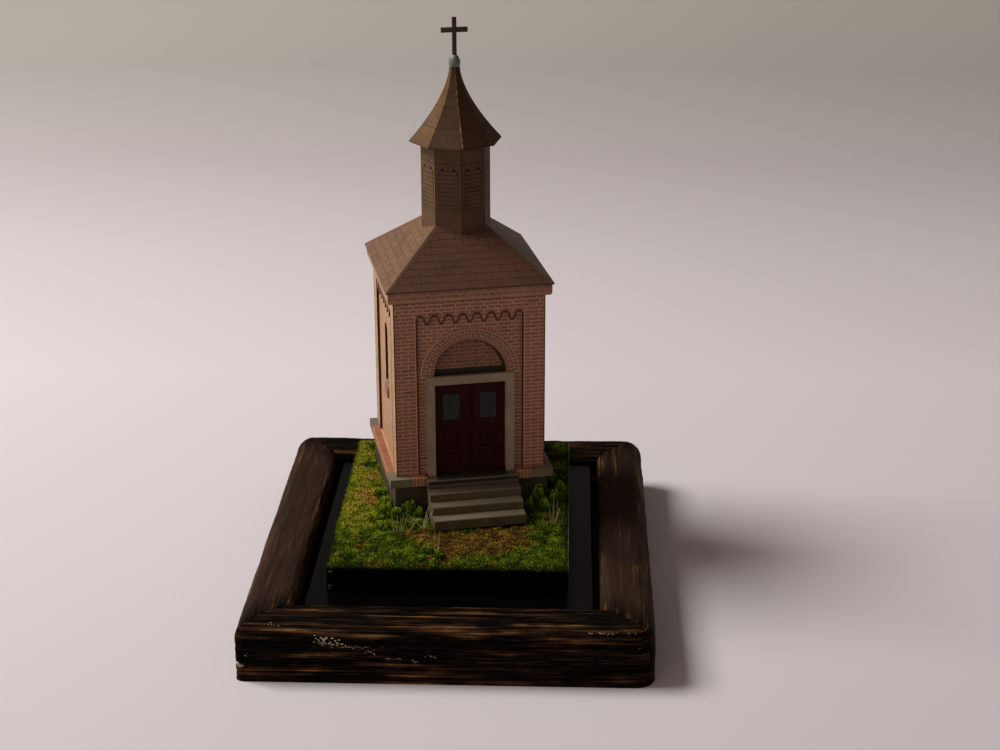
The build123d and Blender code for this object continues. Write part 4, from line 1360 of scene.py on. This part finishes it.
def turf_grid(margin):
    """Grid of the turf's top: places, faces and its size, drawn in by margin."""
    cell = 0.7 * MM
    nx = round((TURF_HIGH.x - TURF_LOW.x) / cell)
    ny = round((TURF_HIGH.y - TURF_LOW.y) / cell)
    places = []
    for j in range(ny + 1):
        for i in range(nx + 1):
            x = TURF_LOW.x + margin + (TURF_HIGH.x - TURF_LOW.x - 2 * margin) * i / nx
            y = TURF_LOW.y + margin + (TURF_HIGH.y - TURF_LOW.y - 2 * margin) * j / ny
            places.append((x, y, ground_height(x, y)))
    faces = [(j * (nx + 1) + i, j * (nx + 1) + i + 1, (j + 1) * (nx + 1) + i + 1, (j + 1) * (nx + 1) + i)
             for j in range(ny) for i in range(nx)]
    return places, faces, nx, ny


def turf_mat():
    """The mat under the fibres: a closed lumpy slab."""
    places, faces, nx, ny = turf_grid(0.0)
    bm = bmesh.new()
    verts = [bm.verts.new(p) for p in places]
    for face in faces:
        bm.faces.new([verts[i] for i in face])
    row = nx + 1
    ring = [*range(row), *range(2 * row - 1, row * (ny + 1), row),
            *range(row * (ny + 1) - 2, row * ny - 1, -1), *range(row * (ny - 1), 0, -row)]
    base = [bm.verts.new((verts[i].co.x, verts[i].co.y, BLOCK_TOP)) for i in ring]
    for i in range(len(ring)):
        j = (i + 1) % len(ring)
        bm.faces.new((verts[ring[i]], base[i], base[j], verts[ring[j]]))
    bm.faces.new(base)
    piece("turf_mat", bm, TURF_MAT, "turf", "groundwork")


def scatter_bed(name, turf_share, earth_share, rim_only):
    """Open mesh to scatter on: the turf's top, or the band round its edge. Its cover is turf_share, plus
    earth_share where the ground is bare, and it carries the grass's local tone."""
    if rim_only:
        corners = [(TURF_LOW.x, TURF_LOW.y), (TURF_HIGH.x, TURF_LOW.y), (TURF_HIGH.x, TURF_HIGH.y),
                   (TURF_LOW.x, TURF_HIGH.y)]
        steps = 60
        places, faces = [], []
        for (xa, ya), (xb, yb) in zip(corners, corners[1:] + corners[:1]):
            for i in range(steps):
                start = len(places)
                for t in (i / steps, (i + 1) / steps):
                    x, y = xa + (xb - xa) * t, ya + (yb - ya) * t
                    places += [(x, y, BLOCK_TOP + 0.05 * MM), (x, y, BLOCK_TOP + 0.9 * MM)]
                faces.append((start, start + 2, start + 3, start + 1))
    else:
        places, faces, _, _ = turf_grid(0.1 * MM)
    mesh = bpy.data.meshes.new(name)
    mesh.from_pydata(places, [], faces)
    covers = [turf_share + earth_share * bare_earth(x, y) if chapel_distance(x, y) > 0.1 * MM else 0.0
              for x, y, _ in places]
    hues = [turf_hue(x, y) for x, y, _ in places]
    mesh.attributes.new("cover", "FLOAT", "POINT").data.foreach_set("value", covers)
    mesh.attributes.new("hue", "FLOAT", "POINT").data.foreach_set("value", hues)
    return mesh


def blade_unit():
    """A grass fibre one long: a three-sided spike, bent over once."""
    bm = bmesh.new()
    foot, knee = [[bm.verts.new((width * math.cos(a) + shift, width * math.sin(a), z)) for a in THREE_SIDES]
                  for width, shift, z in ((0.06, 0.0, 0.0), (0.045, 0.13, 0.6))]
    tip = bm.verts.new((0.4, 0, 1.0))
    bm.faces.new(foot[::-1])
    for i in range(3):
        j = (i + 1) % 3
        bm.faces.new((foot[i], foot[j], knee[j], knee[i]))
        bm.faces.new((knee[i], knee[j], tip))
    return unit_object("grass_unit", bm)


def crumb_unit():
    """A crumb of scatter, one across."""
    bm = bmesh.new()
    points = ((0.5, 0, 0.1), (-0.45, 0.1, 0), (0.05, 0.5, 0), (0, -0.42, 0.12), (0.05, 0.05, 0.48),
              (0, 0, -0.4))
    v = [bm.verts.new(p) for p in points]
    for a, b, c in ((0, 2, 4), (2, 1, 4), (1, 3, 4), (3, 0, 4), (2, 0, 5), (1, 2, 5), (3, 1, 5), (0, 3, 5)):
        bm.faces.new((v[a], v[b], v[c]))
    return unit_object("crumb_unit", bm)


def turf():
    """Static grass and scatter, thin where the ground is bare, and a fringe over the block's edge."""
    turf_mat()
    blade = blade_unit()
    crumb = crumb_unit()
    for name, turf_share, earth_share, unit, density, seed, shortest, longest, lean, material, rim_only in (
            ("turf_earth_crumbs", 0.06, 0.94, crumb, 8.0e6, 5, 0.22, 0.55, 1.5, EARTH, False),
            ("turf_green_crumbs", 1.0, -0.96, crumb, 5.5e6, 7, 0.25, 0.6, 1.5, GRASS, False),
            ("turf_grass_fibres", 1.0, -0.95, blade, 6.0e6, 6, 0.5, 1.05, 0.9, GRASS, False),
            ("turf_edge_fringe", 1.0, 0.0, blade, 9.0e6, 8, 0.4, 0.85, 1.0, GRASS, True)):
        bed = scatter_bed(name + "_bed", turf_share, earth_share, rim_only)
        run_nodes(name, bed, SCATTERING, {
            "Blade": unit, "Density": density, "Seed": seed, "Shortest": shortest * MM,
            "Longest": longest * MM, "Lean": lean, "Finish": material,
        }, "turf")


def bushes():
    """Foliage clumps against the foundation's corners and beside the steps: lumps of small flakes."""
    dice = random.Random(71)
    flakes = bmesh.new()
    tint = flakes.verts.layers.float.new("tint")
    for u, v, radius, height in (
            (-22.6, -8.5, 1.8, 2.2), (-22.0, -16.0, 2.0, 2.8), (-20.6, -22.6, 1.9, 2.6),
            (-22.6, -20.0, 2.2, 2.6), (-16.6, -21.8, 1.7, 3.4), (-14.4, -23.4, 1.5, 2.6),
            (-25.5, -23.0, 2.0, 1.6), (-24.5, -28.0, 2.0, 1.6), (-15.4, -43.6, 1.6, 1.6),
            (-13.0, -46.4, 1.5, 1.5), (-17.6, -47.0, 1.4, 1.2), (-15.0, -50.0, 1.4, 1.3),
            (17.0, -22.0, 2.4, 4.2), (18.6, -25.6, 2.0, 2.6), (22.0, -21.5, 2.2, 3.2),
            (24.6, -18.0, 2.0, 3.4), (14.4, -24.8, 1.4, 2.6), (26.5, -3.0, 2.2, 2.4),
            (29.6, 7.0, 1.8, 2.6), (23.0, -10.0, 2.2, 2.8), (23.0, 14.0, 2.2, 2.6),
            (-23.0, 12.0, 2.0, 1.4), (-19.0, 24.0, 2.4, 2.2), (8.0, 24.0, 2.4, 2.0)):
        at = Vector((AXIS.x, AXIS.y, 0)) + turned(u * MM, v * MM)
        for _ in range(int(600 * radius ** 1.5)):
            a = dice.uniform(0, 2 * math.pi)
            up = dice.random() ** 0.7
            lump = 1 + 0.75 * noise.noise(Vector((2 * math.cos(a), 2 * math.sin(a), up * 3 + at.x / MM)))
            reach = radius * MM * math.sqrt(max(1 - up * up, 0.03)) * lump * dice.uniform(0.75, 1.0)
            x, y = at.x + reach * math.cos(a), at.y + reach * math.sin(a)
            outside = x < TURF_LOW.x - 0.5 * MM or x > TURF_HIGH.x + 0.5 * MM or y < TURF_LOW.y - 0.6 * MM
            if outside or chapel_distance(x, y) < 0.15 * MM:
                continue
            base = Vector((x, y, ground_height(x, y) - 0.2 * MM + height * MM * up * lump))
            turn = Euler([dice.uniform(0, 2 * math.pi) for _ in range(3)]).to_matrix()
            size = dice.uniform(0.08, 0.19) * MM
            # Painted light and shade: flakes high in a clump are paler, low ones darker.
            tone = min(1.0, max(0.0, 0.75 * up * lump - 0.05 + dice.gauss(0, 0.18)))
            verts = [flakes.verts.new(base + turn @ Vector(p) * size) for p in (
                (-1, -0.5, 0), (1, -0.6, 0.2), (0.3, 1, 0), (0, 0, -0.8))]
            for vertex in verts:
                vertex[tint] = tone
            for i, j, k in ((0, 1, 2), (0, 3, 1), (1, 3, 2), (2, 3, 0)):
                flakes.faces.new((verts[i], verts[j], verts[k]))
    piece("bush_foliage", flakes, BUSH, "turf")


def straw():
    """Dry stalks in the turf: foot and lean of each in millimetres from the frame's origin."""
    bm = bmesh.new()
    tint = bm.verts.layers.float.new("tint")
    for x, y, dx, dy, length, tone in (
            (-19.9, -6.8, 0.6, 0.0, 3.7, 0.6), (-15.4, -17.2, -0.5, 0.6, 6.2, 0.1),
            (-15.0, -17.4, -1.0, 0.2, 5.4, 0.0), (-14.6, -17.2, 0.4, 0.0, 5.3, 0.9),
            (-14.0, -17.3, 0.6, 0.4, 4.4, 0.2), (-13.6, -17.1, 0.9, 0.0, 5.9, 0.6),
            (-13.2, -17.0, 1.5, -0.3, 5.0, 0.3), (-8.4, -14.6, -4.0, 0.0, 4.7, 0.7),
            (-10.9, -15.3, 0.6, 0.0, 5.4, 0.1), (-8.2, -14.6, 1.9, 0.3, 6.8, 0.8),
            (-8.0, -14.8, 1.2, 0.0, 4.2, 0.9), (-11.9, -17.8, 3.4, 0.2, 5.0, 0.2),
            (-7.8, -14.4, 2.6, 0.0, 5.6, 0.7), (-6.6, -15.4, -0.6, 0.0, 5.4, 0.5),
            (-5.3, -25.8, -0.3, 0.0, 5.0, 0.4), (-4.7, -25.8, 0.2, 0.3, 4.2, 0.1),
            (-4.3, -25.8, 0.1, 0.0, 4.7, 0.7), (-3.7, -25.9, 0.6, 0.0, 3.6, 0.2),
            (-3.3, -25.7, 0.3, 0.0, 5.0, 0.6), (24.9, -11.4, 0.4, 0.0, 9.0, 0.1),
            (25.2, -11.5, 0.0, 0.3, 7.5, 0.0), (25.4, -11.4, 1.4, 0.0, 4.8, 1.0),
            (25.9, -9.6, 0.2, 0.0, 6.5, 0.3), (24.5, -11.2, -0.6, 0.0, 6.0, 0.2)):
        foot = Vector((x, y, 0)) * MM
        foot.z = ground_height(foot.x, foot.y) - 0.2 * MM
        rings = []
        for i in range(6):
            t = i / 5
            centre = foot + Vector((dx * t * (0.6 + 0.4 * t), dy * t, length * t)) * MM
            width = 0.13 * MM * (1 - 0.6 * t)
            rings.append([bm.verts.new(centre + Vector((math.cos(a), math.sin(a), 0)) * width)
                          for a in THREE_SIDES])
            for vertex in rings[-1]:
                vertex[tint] = tone
        joined(bm, rings)
    piece("straw_stalks", bm, STRAW, "turf")


# ---- finishes of the nodes that stay as they are ----
# Start of a node's name: its finish. The brick pieces cover most of what is mortar here.
NODE_FINISHES = {
    "stand_base_board": UNDERSIDE, "stand_ledge": LEDGE_PAINT, "stand_block": BLOCK_PAINT,
    "foundation": FOUNDATION_STONE, "step": STEP_STONE, "threshold": STEP_STONE, "corner_stone": PLINTH_STONE,
    "brick_course": MORTAR, "front": MORTAR, "back": MORTAR, "left": MORTAR, "right": MORTAR,
    "tympanum": SHADED_MORTAR, "arch_ring": MORTAR, "cornice": CORNICE_CARD, "door_surround": SURROUND_STONE,
    "sill": SILL_CARD, "door_leaf": DOOR, "window": WINDOW_DARK, "roof": ROOF_LINE, "turret": TURRET_LINE,
    "spire": SPIRE_CARD, "finial": FINIAL_ZINC, "cross": CROSS_IRON,
}


def paint_nodes():
    """Gives every carried-over node the finish whose key its name starts with; the last that fits holds."""
    for name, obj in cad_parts.items():
        for start, material in NODE_FINISHES.items():
            if name.startswith(start):
                obj.data.materials.clear()
                obj.data.materials.append(material)


# ---- the scene round the model ----
def sweep_floor():
    """A pale paper sweep: flat floor curving up into a backdrop far behind."""
    bm = bmesh.new()
    flat_end = 0.9
    bend = 0.7
    line = [(-1.5, 0.0), (flat_end, 0.0)]
    for i in range(1, 17):
        a = math.pi / 2 * i / 16
        line.append((flat_end + bend * math.sin(a), bend * (1 - math.cos(a))))
    line.append((flat_end + bend, 2.4))
    rows = [[bm.verts.new((x, y, z)) for x in (-3.0, 3.0)] for y, z in line]
    for a, b in zip(rows, rows[1:]):
        bm.faces.new((a[0], a[1], b[1], b[0]))
    # Matt paper, its tone drifting from pale mauve-grey in front to cream-grey far behind; its paler and
    # darker bands along the depth are painted light and shade.
    material, tree, bsdf = finish("pale_paper_sweep", 0.9, 0.1)
    coords = add(tree, "ShaderNodeTexCoord")
    spot = add(tree, "ShaderNodeSeparateXYZ", {0: coords.outputs["Object"]})
    depth = add(tree, "ShaderNodeMapRange", {
        "Value": spot.outputs[1], "From Min": -0.2, "From Max": 0.95}).outputs[0]
    tone = add(tree, "ShaderNodeValToRGB", {"Fac": depth}, (
        (0.0, "#bcb8bb"), (0.3, "#cec9cd"), (0.42, "#c3bfc2"), (0.55, "#b3aeaf"), (0.73, "#aeaba7"),
        (0.95, "#c4c1ba")))
    tree.links.new(tone.outputs[0], bsdf.inputs["Base Color"])
    piece("floor_sweep", bm, material, None, smooth=True)


def soft_light(name, spot, target, size, power, colour):
    light = bpy.data.lights.new(name, "AREA")
    light.shape = "RECTANGLE"
    light.size, light.size_y = size
    light.energy = power
    light.color = linear(colour)[:3]
    obj = bpy.data.objects.new(name, light)
    obj.location = spot
    obj.rotation_euler = (Vector(target) - Vector(spot)).to_track_quat("-Z", "Y").to_euler()
    bpy.context.scene.collection.objects.link(obj)


def lights():
    """A large soft window at the left, a faint fill from the front, and a dim surround."""
    window = (-0.8465, 0.1039, 0.9811)
    soft_light("window_light", window, (0, 0.0, 0.05), (0.58, 0.5), 20.5, "#fffaf6")
    room = (-0.7, -1.1, 0.45)
    soft_light("room_fill", room, (0, 0, 0.06), (0.9, 0.7), 2.0, "#ffe8da")
    world = bpy.data.worlds.new("soft_room")
    bpy.context.scene.world = world
    world.use_nodes = True
    surround = world.node_tree.nodes["Background"]
    surround.inputs["Color"].default_value = linear("#ffe6de")
    surround.inputs["Strength"].default_value = 0.19


def camera():
    """The viewing place: in front, a little to the right, looking down."""
    eye = (0.02786, -0.44373, 0.22955)
    pitch, yaw, roll = [math.radians(a) for a in (21.293, -2.163, 0.108)]
    forward = Vector((math.sin(yaw) * math.cos(pitch), math.cos(yaw) * math.cos(pitch), -math.sin(pitch)))
    right = forward.cross(Vector((0, 0, 1))).normalized()
    tilt = Matrix.Rotation(roll, 3, forward)
    right, up = tilt @ right, tilt @ right.cross(forward)
    data = bpy.data.cameras.new("camera")
    data.lens = 67.3
    data.clip_start = 0.01
    obj = bpy.data.objects.new("camera", data)
    rotation = Matrix((right, up, -forward)).transposed().to_4x4()
    obj.matrix_world = Matrix.Translation(eye) @ rotation
    bpy.context.scene.collection.objects.link(obj)
    bpy.context.scene.camera = obj


paint_nodes()
for make in (
        brickwork, arch_infill, corbel_blocks, cornice_bricks, arch_bricks, plinth_bricks, brick_outlines,
        soffit_shade, arch_outer_line, roof_tiles, turret_faces, spire_lines, door_lights, door_mouldings,
        tympanum_foot, arch_shade, step_edges, step_treads, side_windows, stand_rails, rail_chips,
        block_arris, turf, bushes, straw, sweep_floor, lights, camera):
    make()
for unit in units:
    bpy.data.objects.remove(unit)
bpy.context.scene.view_settings.view_transform = "Standard"
bpy.context.view_layer.update()
